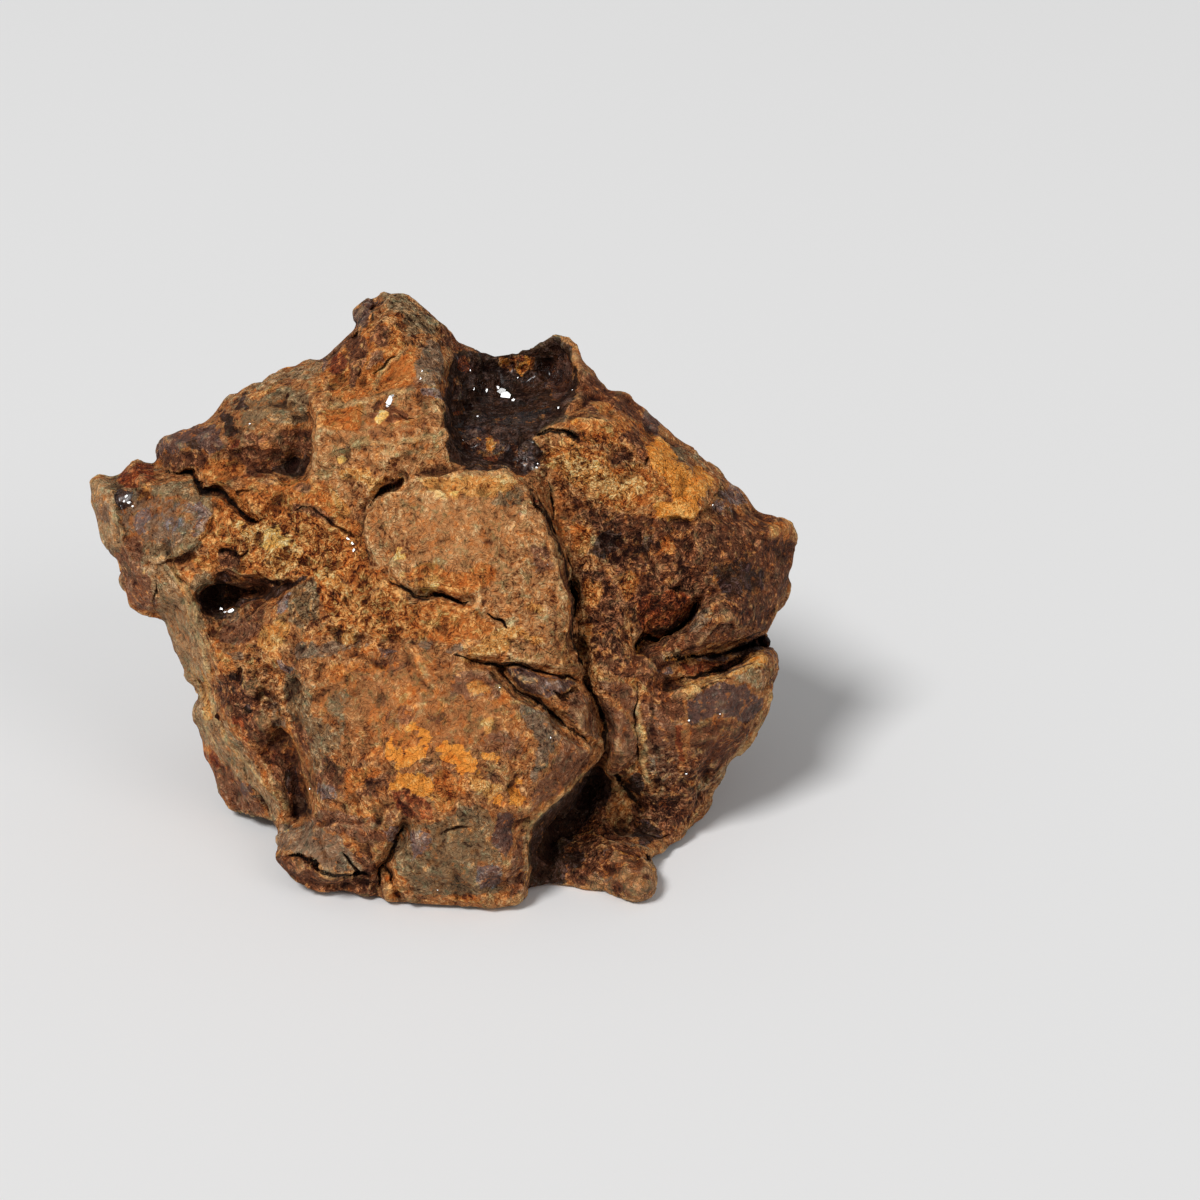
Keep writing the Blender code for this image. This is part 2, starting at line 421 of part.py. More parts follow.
def make_stone():
    """The stone as one closed solid."""
    rebuild = ("REMESH", {"mode": "VOXEL", "voxel_size": GRAIN})
    soften = ("SMOOTH", {"factor": 0.5, "iterations": SMOOTH_ROUNDS})
    mesh = with_modifiers(blank_mesh(), rebuild)
    points, _ = read_points(mesh)
    flatten_breaks(points)
    raise_underside(points)
    write_points(mesh, points)
    mesh = with_modifiers(mesh, rebuild, soften)
    points, normals = read_points(mesh)
    cut_cracks(points, normals)
    chip_surface(points, normals)
    raise_underside(points)
    write_points(mesh, points)
    triangles = sum(len(polygon.vertices) - 2 for polygon in mesh.polygons)
    mesh = with_modifiers(mesh, ("DECIMATE", {"ratio": TRIANGLES / triangles, "use_collapse_triangulate": True}))
    points, _ = read_points(mesh)
    points[points[:, 2] < 0.04, 2] = 0.0
    write_points(mesh, points * MM)
    stone = bpy.data.objects.new("stone", mesh)
    bpy.context.scene.collection.objects.link(stone)
    mesh.materials.append(rust())
    return stone


def main():
    for old in list(bpy.data.objects):
        bpy.data.objects.remove(old)
    make_stone()


main()
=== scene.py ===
import math

import bmesh
import bpy
import numpy as np
from mathutils import Matrix, Vector, noise
from mathutils.bvhtree import BVHTree
from mathutils.kdtree import KDTree


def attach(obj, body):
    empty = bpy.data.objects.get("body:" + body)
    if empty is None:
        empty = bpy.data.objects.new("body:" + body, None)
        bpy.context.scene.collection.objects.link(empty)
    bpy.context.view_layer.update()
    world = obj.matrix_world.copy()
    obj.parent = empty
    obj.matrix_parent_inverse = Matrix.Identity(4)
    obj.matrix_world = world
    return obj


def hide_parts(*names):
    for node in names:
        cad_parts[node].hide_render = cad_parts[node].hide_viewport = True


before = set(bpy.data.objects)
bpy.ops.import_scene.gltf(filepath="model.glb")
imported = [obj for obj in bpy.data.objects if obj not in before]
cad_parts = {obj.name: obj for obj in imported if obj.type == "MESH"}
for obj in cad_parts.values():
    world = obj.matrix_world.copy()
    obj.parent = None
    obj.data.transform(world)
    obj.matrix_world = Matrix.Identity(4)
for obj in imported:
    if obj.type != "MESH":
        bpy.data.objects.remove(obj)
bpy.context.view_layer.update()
mm = 0.001

# The broken face is laid out as the eye sees it: u to the right, v up and w towards the eye, in mm
face = {
    "lean": math.radians(26.4),  # the face leans back, and the eye looks straight at it
    "height": 9.2,  # the face's origin above the ground
    "eyeDistance": 101.5,
    "eyeSide": 6.4,
    "middle": (0.15, 1.41),  # x and y of the stone's middle, seen from the face's origin
}
leanSin, leanCos = math.sin(face["lean"]), math.cos(face["lean"])
towardEye = np.array([0.0, -leanCos, leanSin])


def toFace(points):
    x, y, z = np.asarray(points, float).T
    across, y, z = x + face["middle"][0], y + face["middle"][1], z - face["height"]
    up = y * leanSin + z * leanCos
    w = z * leanSin - y * leanCos
    nearer = (face["eyeDistance"] - w) / face["eyeDistance"]
    return np.column_stack([face["eyeSide"] + (across - face["eyeSide"]) / nearer, up / nearer, w])


def toGround(points):
    u, v, w = np.asarray(points, float).T
    nearer = (face["eyeDistance"] - w) / face["eyeDistance"]
    across, up = face["eyeSide"] + (u - face["eyeSide"]) * nearer, v * nearer
    return np.column_stack([
        across - face["middle"][0],
        up * leanSin - w * leanCos - face["middle"][1],
        up * leanCos + w * leanSin + face["height"],
    ])


def smoothstep(low, high, value):
    share = np.clip((value - low) / (high - low), 0.0, 1.0)
    return share * share * (3 - 2 * share)


def lumpy(points, size, seed):  # smooth noise, about -1 to 1, with lumps of this size in mm
    shift = Vector((seed * 7.31, seed * 3.77, seed * 5.19))
    make = noise.noise
    return np.array([make(Vector(point) + shift) for point in (points / size)])


def pebbly(points, size, seed):  # rounded grains of this size, 1 at their middles and 0 in the gaps
    shift = Vector((seed * 4.13, seed * 6.71, seed * 2.39))
    make = noise.voronoi
    near = np.array([make(Vector(point) + shift)[0][:2] for point in (points / size)])
    return np.clip((near[:, 1] - near[:, 0]) * 1.6, 0.0, 1.0)


def chipped(points, size, tilt, seed):  # flat chips of this size that lean by up to this share of it
    rng = np.random.default_rng(seed)
    low, high = np.array(stoneShape["chipBox"])
    counts = np.ceil((high - low) / size).astype(int)
    grid = np.stack(np.meshgrid(*(np.arange(n) for n in counts), indexing="ij"), axis=-1).reshape(-1, 3)
    middles = low + (grid + rng.random(grid.shape)) * size
    leans = rng.normal(0, tilt, grid.shape)
    levels = rng.normal(0, 0.3 * tilt * size, len(grid))
    tree = KDTree(len(middles))
    for number, middle in enumerate(middles):
        tree.insert(middle, number)
    tree.balance()
    rise = np.empty(len(points))
    for place, point in enumerate(points):
        nearest = tree.find_n(point, 2)
        first, second = nearest[0][1], nearest[1][1]
        gap = (nearest[1][2] - nearest[0][2]) / size
        share = 0.5 * max(0.0, 1.0 - gap / stoneShape["chipJoint"])
        here = float((point - middles[first]) @ leans[first]) + levels[first]
        there = float((point - middles[second]) @ leans[second]) + levels[second]
        rise[place] = here * (1 - share) + there * share
    return rise


def lineFacts(places, line):  # distance to a line, its side (1 on the left), how far along
    line = np.asarray(line, float)
    spans = np.linalg.norm(np.diff(line, axis=0), axis=1)
    starts = np.concatenate([[0.0], np.cumsum(spans)])
    nearest = np.full(len(places), np.inf)
    side = np.ones(len(places))
    along = np.zeros(len(places))
    for start, end, before, span in zip(line[:-1], line[1:], starts, spans):
        run = end - start
        share = np.clip((places - start) @ run / (run @ run), 0.0, 1.0)
        away = places - start - share[:, None] * run
        reach = np.linalg.norm(away, axis=1)
        closer = reach < nearest
        nearest[closer] = reach[closer]
        turn = run[0] * away[:, 1] - run[1] * away[:, 0]
        side[closer] = np.where(turn[closer] >= 0, 1.0, -1.0)
        along[closer] = (before + share[closer] * span) / starts[-1]
    return nearest, side, along


def blobField(places, blobs):  # 1 inside the painted ellipses, fading out past their edges
    field = np.zeros(len(places))
    for u, v, halfWide, halfHigh, turn, strength in blobs:
        turn = math.radians(turn)
        du, dv = places[:, 0] - u, places[:, 1] - v
        alongAxis = (du * math.cos(turn) + dv * math.sin(turn)) / halfWide
        acrossAxis = (dv * math.cos(turn) - du * math.sin(turn)) / halfHigh
        reach = np.sqrt(alongAxis**2 + acrossAxis**2)
        field = np.maximum(field, strength * (1 - smoothstep(0.45, 1.35, reach)))
    return field


def readPoints(mesh):
    points = np.empty(len(mesh.vertices) * 3)
    normals = np.empty(len(mesh.vertices) * 3, np.float32)
    mesh.vertices.foreach_get("co", points)
    mesh.vertex_normals.foreach_get("vector", normals)
    return points.reshape(-1, 3), normals.reshape(-1, 3).astype(float)


def writePoints(mesh, points):
    mesh.vertices.foreach_set("co", points.astype(np.float32).ravel())
    mesh.update()


def applyModifiers(mesh, *settings):
    holder = bpy.data.objects.new("holder", mesh)
    bpy.context.scene.collection.objects.link(holder)
    for kind, values in settings:
        modifier = holder.modifiers.new(kind.title(), kind)
        for name, value in values.items():
            setattr(modifier, name, value)
    made = bpy.data.meshes.new_from_object(holder.evaluated_get(bpy.context.evaluated_depsgraph_get()))
    bpy.data.objects.remove(holder)
    bpy.data.meshes.remove(mesh)
    return made


def showPiece(name, mesh, material, node=None):
    piece = bpy.data.objects.new(name, mesh)
    bpy.context.scene.collection.objects.link(piece)
    mesh.materials.clear()
    mesh.materials.append(material)
    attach(piece, "root")
    if node:
        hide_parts(node)
    return piece


# Node trees written as expressions
class Value:
    def __init__(self, tree, socket):
        self.tree, self.socket = tree, socket

    def node(self, kind, settings=None, **inputs):
        made = self.tree.nodes.new(kind)
        for name, value in (settings or {}).items():
            setattr(made, name, value)
        for name, value in inputs.items():
            key = int(name[1:]) if name[0] == "i" and name[1:].isdigit() else name.replace("_", " ")
            if isinstance(value, Value):
                self.tree.links.new(value.socket, made.inputs[key])
            else:
                made.inputs[key].default_value = value
        return made

    def out(self, kind, output=0, settings=None, **inputs):
        return Value(self.tree, self.node(kind, settings, **inputs).outputs[output])

    def math(self, operation, *values, clamp=False):
        settings = {"operation": operation, "use_clamp": clamp}
        return self.out("ShaderNodeMath", 0, settings, **{f"i{n}": value for n, value in enumerate(values)})

    def __add__(self, other):
        return self.math("ADD", self, other)

    def __radd__(self, other):
        return self.math("ADD", other, self)

    def __sub__(self, other):
        return self.math("SUBTRACT", self, other)

    def __rsub__(self, other):
        return self.math("SUBTRACT", other, self)

    def __mul__(self, other):
        return self.math("MULTIPLY", self, other)

    def __rmul__(self, other):
        return self.math("MULTIPLY", other, self)

    def size(self):
        return self.math("ABSOLUTE", self)

    def clamped(self):
        return self.math("MULTIPLY", self, 1.0, clamp=True)

    def edge(self, low, high):  # 0 at low and 1 at high, whichever of them is greater
        settings = {"interpolation_type": "SMOOTHSTEP"}
        return self.out("ShaderNodeMapRange", 0, settings, Value=self, From_Min=low, From_Max=high)

    def blendTo(self, colour, share, blend="MIX"):
        settings = {"data_type": "RGBA", "blend_type": blend, "clamp_factor": True}
        return self.out("ShaderNodeMix", 2, settings, i0=share, i6=self, i7=colour)


def srgb(red, green, blue):  # a colour as the eye reads it, 0 to 255, for a shader
    shares = (red / 255, green / 255, blue / 255)
    linear = [share / 12.92 if share <= 0.04045 else ((share + 0.055) / 1.055) ** 2.4 for share in shares]
    return (*linear, 1.0)


def skyward(compass, height):  # the way to a light, from its two angles in degrees
    compass, height = math.radians(compass), math.radians(height)
    flat = math.cos(height)
    return Vector((math.sin(compass) * flat, -math.cos(compass) * flat, math.sin(height)))


print("camera, light and floor")
studio = {
    "lens": 76.1,
    "floorColour": srgb(233, 233, 233),
    "skyColour": (1.0, 1.0, 1.0, 1.0),
    "skyStrength": 0.3,
    "lights": {  # round from the eye's side to the right, height in degrees, watts, size and distance in m
        "key": (-38, 52, 66.0, 0.9, 3.0),
        "fill": (48, 34, 12.0, 1.5, 3.0),
    },
}

camera = bpy.data.objects.new("camera", bpy.data.cameras.new("camera"))
bpy.context.scene.collection.objects.link(camera)
camera.data.sensor_width = 36
camera.data.lens = studio["lens"]
camera.data.clip_start, camera.data.clip_end = 0.005, 20
camera.rotation_euler = (math.pi / 2 - face["lean"], 0, 0)
camera.location = Vector(toGround([(face["eyeSide"], 0, 0)])[0] + towardEye * face["eyeDistance"]) * mm
bpy.context.scene.camera = camera
bpy.context.scene.view_settings.view_transform = "Standard"

world = bpy.data.worlds.new("sky")
bpy.context.scene.world = world
world.use_nodes = True
world.node_tree.nodes["Background"].inputs["Color"].default_value = studio["skyColour"]
world.node_tree.nodes["Background"].inputs["Strength"].default_value = studio["skyStrength"]

for name, (compass, height, watts, size, distance) in studio["lights"].items():
    lamp = bpy.data.objects.new(name, bpy.data.lights.new(name, "AREA"))
    bpy.context.scene.collection.objects.link(lamp)
    lamp.data.energy, lamp.data.size, lamp.data.shape = watts, size, "DISK"
    outward = skyward(compass, height)
    lamp.location = outward * distance
    lamp.rotation_euler = outward.to_track_quat("Z", "Y").to_euler()

floorMesh = bpy.data.meshes.new("floor")
floorMesh.from_pydata([(-4, -4, 0), (4, -4, 0), (4, 4, 0), (-4, 4, 0)], [], [(0, 1, 2, 3)])
floorMaterial = bpy.data.materials.new("pale paper")
floorMaterial.use_nodes = True
floorShader = floorMaterial.node_tree.nodes["Principled BSDF"]
floorShader.inputs["Base Color"].default_value = studio["floorColour"]
floorShader.inputs["Roughness"].default_value = 0.9
floorShader.inputs["Specular IOR Level"].default_value = 0.1
floorMesh.materials.append(floorMaterial)
floor = bpy.data.objects.new("floor", floorMesh)
bpy.context.scene.collection.objects.link(floor)


print("stone: shape")
stoneShape = {
    "cell": 0.095,  # side of the cells that the surface is rebuilt in, mm
    "softenRounds": 4,
    "wornRounds": 16,
    "refineReach": 0.22,  # the cells are halved this near to a crack or a ridge, mm
    "spike": 0.05,  # points that stand out by more than this are drawn back, mm
    "chipBox": [(-20.0, -16.0, -4.0), (20.0, 16.0, 26.0)],  # the chips are laid out in this box, mm
    "chipJoint": 0.12,  # width of the joint between two chips, as a share of their size
    "relief": {  # sizes and heights in mm; for chips the size, the lean and the most that they rise or sink
        "swell": (1.9, 0.05),
        "chips": (1.9, 0.075, 0.14),
        "smallChips": (0.8, 0.06, 0.08),
        "backChips": (3.4, 0.11, 0.28),
        "creases": (0.95, 0.022),
        "knobs": (0.5, 0.015),
        "grains": (0.38, 0.035),
        "fine": (0.24, 0.008),
    },
    "crackWidth": 0.8,  # times the half widths below
    "crackDepth": 0.7,  # times the depths below
    "backShare": 0.35,  # triangles kept round the back
    "triangles": 194000,
    "seed": 5,
    # Small shifts of the outline: u, v, reach, and the shift along u, v and w
    "pulls": [
        (-5.7, -11.0, 2.2, -0.25, -0.55, 1.1), (8.2, -11.3, 1.6, 0.16, -0.1, 0.3),
        (0, -12.1, 4.5, 0, -0.12, 0.24), (-8.6, -8.0, 1.6, -0.18, -0.12, 0), (-7.0, -9.3, 0.6, 0.3, 0, 0),
        (-12.0, -0.4, 1.4, -0.04, -0.12, 0), (-10.7, -1.5, 0.9, -0.1, -0.03, 0),
        (-9.9, -3.6, 0.8, 0.1, 0, 0), (-9.8, -4.8, 0.9, -0.18, 0, 0), (-13.6, 2.4, 0.9, -0.15, 0, 0),
        (-12.9, 0.9, 0.8, 0.04, 0, 0), (-13.0, 5.2, 0.9, 0, -0.28, 0), (-11.7, 5.6, 0.5, 0, -0.15, 0),
        (-11.1, 6.2, 0.7, -0.15, 0.05, 0), (-9.1, 7.6, 1.1, 0.02, -0.02, 0), (-5.9, 9.3, 1.0, 0, -0.1, 0),
        (-7.8, 8.5, 0.7, 0, 0.06, 0), (-4.6, 10.0, 1.0, 0.08, -0.2, 0), (-3.8, 11.1, 0.9, 0.12, -0.08, 0),
        (-3.2, 11.9, 0.6, 0.08, 0, 0), (-2.6, 12.2, 0.4, 0, -0.3, 0), (-0.2, 11.5, 1.2, 0.02, 0.02, 0),
        (4.7, 10.5, 0.8, 0, 0.2, 0), (0.9, 10.4, 0.8, -0.06, -0.08, 0), (6.4, 9.0, 0.8, 0.12, 0.1, 0),
        (7.4, 8.3, 0.8, 0.05, 0.1, 0), (10.2, 6.0, 2.2, 0.03, 0.05, 0), (11.8, 4.7, 0.9, 0.02, 0.0, 0),
        (13.8, 3.1, 1.2, 0.14, 0.14, 0), (13.9, 1.0, 1.4, 0.22, 0, 0), (13.3, -2.8, 1.7, 0.16, 0, 0),
        (12.3, -5.6, 1.6, 0.12, -0.06, 0), (11.5, -6.9, 1.0, 0.2, -0.14, 0),
        (13.35, -1.5, 0.4, -0.35, 0, 0), (9.4, -9.5, 1.2, 0.1, -0.22, 0),
    ],
    # Where the stone is thicker: u, v, reach and how far its surface stands out
    "swells": [(7.5, -11.0, 2.2, 0.26), (5.6, -10.6, 1.5, 0.12)],
    # Where the lower edge is worn smooth: u, v, reach
    "worn": [(-6.3, -11.1, 0.8), (-5.3, -11.7, 1.0), (-3.9, -11.9, 0.9), (-2.9, -12.0, 0.8)],
    # Thin raised ridges, painted pale as a highlight along them: line in (u, v), half width, height
    "ridges": [
        ([(-4.6, 7.62), (-3.6, 7.88), (-2.56, 8.12), (-1.5, 8.4), (-0.88, 8.44)], 0.1, 0.07),
        ([(-5.1, 5.6), (-4.1, 5.96), (-3.36, 6.2), (-2, 6.28), (-0.72, 6.44), (0.32, 6.68)], 0.09, 0.06),
        ([(-2.56, 5.92), (-1.2, 5.88), (-0.08, 5.84)], 0.08, 0.05),
        ([(-2.8, 8.12), (-2.4, 9.1), (-1.68, 9.8), (-0.88, 10.36)], 0.08, 0.05),
        ([(7.9, -3.9), (8.0, -4.9), (8.2, -5.9), (8.05, -6.4), (8.3, -7.2), (8.5, -7.6)], 0.12, 0.07),
        ([(6.04, -6.64), (5.4, -7.36), (4.6, -8.1), (3.96, -8.64), (3.5, -9.3), (3.5, -10.6),
          (3.5, -11.6)], 0.1, 0.06),
        ([(-10.9, 1.5), (-10.2, 0.2), (-9.75, -1.2), (-9.4, -2.4), (-9.3, -3.4), (-9.1, -4.6), (-8.5, -5.6),
          (-7.7, -6.6), (-7.0, -7.4), (-6.6, -8.2)], 0.1, 0.08),
        ([(-9.9, -2.6), (-9.5, -3.8), (-9.4, -5.0), (-8.8, -6.0)], 0.08, 0.05),
        ([(-10.4, 0.9), (-9.9, -0.2), (-9.5, -1.2), (-9.2, -2.2)], 0.08, 0.05),
        ([(3.6, 6.36), (4.4, 6.9), (5.2, 7.35)], 0.1, 0.08),
        ([(13.1, -2.2), (12.0, -2.75), (10.9, -3.2), (9.9, -3.6)], 0.12, 0.05),
        ([(13.2, -4.4), (12.4, -5.7), (11.6, -6.8), (10.9, -7.8)], 0.09, 0.03),
    ],
    # Cracks: line in (u, v), half width, depth
    "cracks": [
        ([(-11.4, 5.4), (-10.9, 5.1), (-10.3, 5.1), (-9.9, 5.15), (-9.75, 4.8), (-9.5, 4.42), (-9.0, 4.45),
          (-8.6, 4.3), (-8.35, 4.0), (-8.1, 3.7), (-7.9, 3.5), (-7.6, 3.25), (-7.3, 3.1),
          (-6.7, 3.1)], 0.12, 0.6),
        ([(-8.4, 4.35), (-7.6, 4.38), (-6.9, 4.5), (-6.0, 4.6)], 0.09, 0.3),
        ([(-5.9, 3.55), (-5.5, 3.7), (-5.1, 3.6), (-4.7, 3.35), (-4.3, 3.05), (-3.9, 2.8),
          (-3.4, 2.5)], 0.1, 0.3),
        ([(-2.95, 3.62), (-2.65, 3.95), (-2.4, 4.3), (-1.9, 4.55), (-1.5, 4.9)], 0.12, 0.5),
        ([(-2.3, 0.95), (-1.9, 0.7), (-1.5, 0.5), (-1.2, 0.35), (-1.05, 0.1), (-0.5, 0.08), (-0.2, 0.25),
          (0.1, 0.2), (0.5, 0.0), (0.9, -0.08), (1.25, 0.0)], 0.12, 0.6),
        ([(1.7, -0.42), (2.1, -0.58), (2.5, -0.82), (2.75, -1.15)], 0.1, 0.45),
        ([(3.45, -1.6), (4.0, -1.75), (4.3, -2.05), (4.7, -2.2)], 0.06, 0.12),
        ([(3.3, 5.0), (3.6, 4.6), (3.7, 4.1), (4.1, 3.6), (4.45, 3.1), (4.6, 2.6), (4.8, 2.0), (5.05, 1.4),
          (5.15, 0.7), (5.35, 0.2), (5.3, -0.6), (5.2, -1.2), (5.4, -1.8), (5.7, -2.5),
          (5.9, -3.2)], 0.13, 0.7),
        ([(4.2, 4.9), (4.35, 4.3), (4.5, 3.7), (4.5, 3.1)], 0.1, 0.5),
        ([(0.2, -2.1), (0.8, -2.3), (1.3, -2.45), (2.0, -2.52), (2.6, -2.6), (3.3, -2.62), (3.8, -2.8),
          (4.6, -2.95), (5.3, -3.12), (5.75, -3.35)], 0.1, 0.5),
        ([(2.3, -2.7), (2.7, -3.2), (3.0, -3.58), (3.5, -3.8), (3.9, -4.0), (4.5, -4.5), (5.0, -5.0),
          (5.4, -5.3), (5.8, -5.6), (6.1, -5.85)], 0.12, 0.6),
        ([(4.3, -3.6), (4.9, -3.8), (5.3, -3.6), (5.7, -3.42)], 0.08, 0.3),
        ([(5.75, -3.35), (6.1, -3.9), (6.4, -4.4), (6.62, -4.9), (6.6, -5.5), (6.58, -5.9),
          (6.5, -6.3)], 0.13, 0.6),
        ([(8.9, 0.42), (9.4, 0.5), (9.9, 0.35), (10.35, 0.0)], 0.08, 0.3),
        ([(10.5, 0.15), (10.2, -0.2), (9.9, -0.7), (9.5, -1.1), (9.1, -1.4), (8.8, -1.62), (8.4, -1.55),
          (8.1, -1.5), (7.9, -1.8), (7.75, -2.3)], 0.13, 0.7),
        ([(14.2, -1.2), (13.3, -1.52), (12.7, -1.7), (12.0, -1.9), (11.2, -2.1)], 0.24, 1.2),
        ([(12.4, -1.8), (11.2, -2.1), (10.4, -2.2), (9.6, -2.4), (9.0, -2.45)], 0.11, 0.7),
        ([(12.3, -2.15), (11.9, -2.5), (11.5, -2.75), (10.8, -2.95), (10.0, -3.1),
          (9.3, -3.15)], 0.13, 0.6),
        ([(-1.5, -9.0), (-1.7, -9.5), (-1.9, -10.0), (-2.1, -10.4), (-2.45, -10.7), (-2.4, -11.2),
          (-2.45, -11.6)], 0.16, 0.8),
        ([(-2.2, -10.5), (-2.0, -10.9), (-1.85, -11.4)], 0.1, 0.4),
        ([(-3.9, -9.95), (-3.6, -10.5), (-3.2, -11.0)], 0.1, 0.4),
        ([(-0.1, -9.5), (0.3, -9.25), (0.7, -9.05), (1.2, -9.0)], 0.08, 0.25),
        ([(-6.35, -10.25), (-5.7, -10.2), (-5.3, -10.42), (-4.9, -10.8), (-4.2, -10.98), (-3.3, -10.95),
          (-2.6, -11.0)], 0.16, 0.5),
        ([(-1.7, 9.85), (-2.1, 9.5), (-2.4, 9.2), (-2.75, 8.95)], 0.09, 0.4),
        ([(-3.15, 9.5), (-3.2, 8.95)], 0.08, 0.3),
        ([(-2.6, 12.0), (-2.75, 11.6), (-2.65, 11.25), (-3.05, 10.95), (-3.3, 10.7),
          (-3.55, 10.4)], 0.11, 0.35),
        ([(-3.4, 7.75), (-3.0, 7.5), (-2.6, 7.52), (-2.2, 7.6)], 0.05, 0.15),
        ([(-1.7, 7.5), (-1.25, 7.25), (-0.9, 7.32)], 0.05, 0.15),
        ([(-4.6, 9.6), (-4.75, 9.1)], 0.1, 0.2),
        ([(7.05, -6.9), (7.3, -7.5), (7.7, -7.9), (8.1, -8.4)], 0.13, 0.7),
        ([(7.85, -3.0), (7.95, -3.7), (7.8, -4.5), (7.85, -5.5), (7.9, -6.5)], 0.08, 0.35),
        ([(7.6, -8.8), (8.1, -9.35), (8.7, -9.5), (9.2, -9.4)], 0.1, 0.3),
        ([(3.7, 6.5), (4.4, 6.75), (5.0, 6.75), (5.6, 6.4)], 0.12, 0.6),
        ([(-1.6, -6.95), (-1.2, -6.7), (-0.8, -6.35), (-0.4, -6.3), (0.2, -6.55)], 0.05, 0.06),
        ([(-11.35, 0.9), (-11.4, 0.1), (-11.3, -0.5)], 0.08, 0.3),
        ([(10.9, 4.0), (11.2, 4.3), (11.3, 4.6)], 0.09, 0.3),
        ([(8.3, 5.7), (8.25, 5.2)], 0.08, 0.3),
        ([(-8.9, 1.95), (-8.4, 1.95), (-8.0, 1.7), (-7.6, 2.05)], 0.09, 0.35),
        ([(-7.95, -4.3), (-7.7, -4.5), (-7.5, -4.3)], 0.12, 0.35),
    ],
    # Cracks round the back, as if seen through the stone: the same values
    "backCracks": [
        ([(-9.0, 6.0), (-8.0, 4.9), (-7.2, 4.4), (-6.5, 3.2), (-6.2, 1.9), (-5.2, 0.8), (-4.6, -0.6),
          (-3.3, -1.5)], 0.14, 0.9),
        ([(-6.4, 3.2), (-5.4, 3.4), (-4.4, 3.0), (-3.3, 3.3), (-2.4, 2.9)], 0.11, 0.6),
        ([(2.2, 8.6), (2.5, 7.3), (3.4, 6.4), (3.6, 5.2), (4.6, 4.3), (5.0, 3.0), (6.1, 2.2),
          (6.4, 1.0)], 0.14, 0.9),
        ([(4.6, 4.3), (5.6, 4.6), (6.9, 4.3), (7.9, 4.7)], 0.1, 0.5),
        ([(10.5, 1.2), (9.2, 0.6), (8.3, 0.8), (7.0, -0.2), (6.2, -0.1), (5.3, -1.2),
          (4.2, -1.6)], 0.13, 0.8),
        ([(-1.0, 2.0), (-0.4, 0.9), (0.5, 0.4), (0.9, -0.8), (1.9, -1.7), (2.0, -3.0)], 0.11, 0.6),
        ([(-8.0, -2.6), (-6.9, -3.0), (-5.8, -2.8), (-4.8, -3.7), (-3.6, -3.8), (-2.7, -4.7)], 0.12, 0.7),
    ],
    # Broken edges: line in (u, v), how far its left side stands up, and how far that reaches
    "steps": [
        ([(0.32, 6.68), (-0.72, 6.44), (-2, 6.28), (-3.36, 6.2), (-4.1, 5.96), (-5.1, 5.6)], -0.12, 0.9),
        ([(-0.08, 5.84), (-1.2, 5.88), (-2.56, 5.92)], -0.08, 0.5),
        ([(-0.88, 8.44), (-1.5, 8.4), (-2.56, 8.12), (-3.6, 7.88), (-4.6, 7.62)], 0.14, 0.9),
        ([(-2.8, 8.1), (-2.4, 9.15), (-1.7, 9.85), (-0.9, 10.4)], 0.16, 0.8),
        ([(-5.05, 7.8), (-4.95, 7.0), (-5.1, 6.5), (-5.2, 5.8), (-5.35, 5.2)], 0.3, 1.2),
        ([(-5.0, 9.25), (-6.0, 8.9), (-7.0, 8.45), (-8.0, 8.4)], -0.15, 0.8),
        ([(-8.9, 1.15), (-8.0, 0.9), (-6.8, 0.78), (-5.3, 0.78)], 0.3, 1.2),
        ([(-1.5, 4.9), (0.0, 5.15), (1.0, 5.3), (1.9, 5.15), (2.6, 5.3), (3.1, 5.0),
          (3.5, 4.6)], -0.25, 1.5),
        ([(-1.9, 4.6), (-2.95, 3.65), (-3.15, 3.0), (-3.1, 2.3), (-2.5, 1.4)], 0.2, 1.2),
        ([(7.4, 7.15), (6.7, 7.4), (6.0, 7.33), (5.4, 7.4), (5.05, 7.05)], 0.22, 1.0),
        ([(11.1, 4.05), (10.6, 3.6), (10.0, 3.2), (8.9, 3.3)], -0.2, 1.4),
        ([(-9.3, 4.4), (-9.2, 3.6), (-9.4, 2.7), (-9.8, 2.1), (-10.3, 1.7), (-10.9, 1.6)], -0.2, 1.5),
        ([(-1.6, -8.7), (-2.4, -8.9), (-3.6, -8.9), (-5.2, -9.1), (-6.3, -9.2)], 0.15, 1.0),
        ([(9.1, -2.3), (10.3, -2.2), (11.5, -2.05)], 0.2, 0.8),
        ([(12.9, -2.2), (11.5, -3.0), (10.0, -3.5), (8.8, -3.65)], 0.25, 1.2),
        ([(-6.0, -6.9), (-5.0, -7.4), (-4.4, -7.9), (-3.6, -8.1)], 0.12, 0.7),
        ([(-10.0, 6.9), (-9.0, 6.1), (-8.2, 5.9), (-7.2, 6.1)], 0.15, 0.9),
        ([(-1.0, -1.6), (-2.4, -1.5), (-3.8, -1.2), (-5.2, -0.9)], -0.12, 1.0),
        ([(8.0, 3.0), (8.2, 2.3), (8.6, 1.4), (8.7, 0.9)], 0.18, 1.0),
        ([(-13.0, 5.0), (-12.95, 4.0), (-12.8, 3.0), (-12.5, 2.0), (-12.2, 1.2)], -0.14, 0.8),
        ([(-11.9, 1.5), (-11.2, 1.6), (-10.4, 1.7), (-9.8, 2.1)], 0.16, 0.8),
    ],
    # Ribs and flutes that follow a line: line, reach on both sides, spacing, height
    "flutes": [
        ([(-11.4, 1.8), (-10.7, 0.6), (-10.1, -0.8), (-9.7, -2.2), (-9.4, -3.6), (-9.3, -4.8), (-8.8, -5.8),
          (-7.9, -6.8), (-7.0, -7.9)], 0.9, 0.3, 0.06),
        ([(8.6, -3.9), (8.7, -5.0), (8.9, -6.0), (9.3, -7.0)], 1.1, 0.5, 0.05),
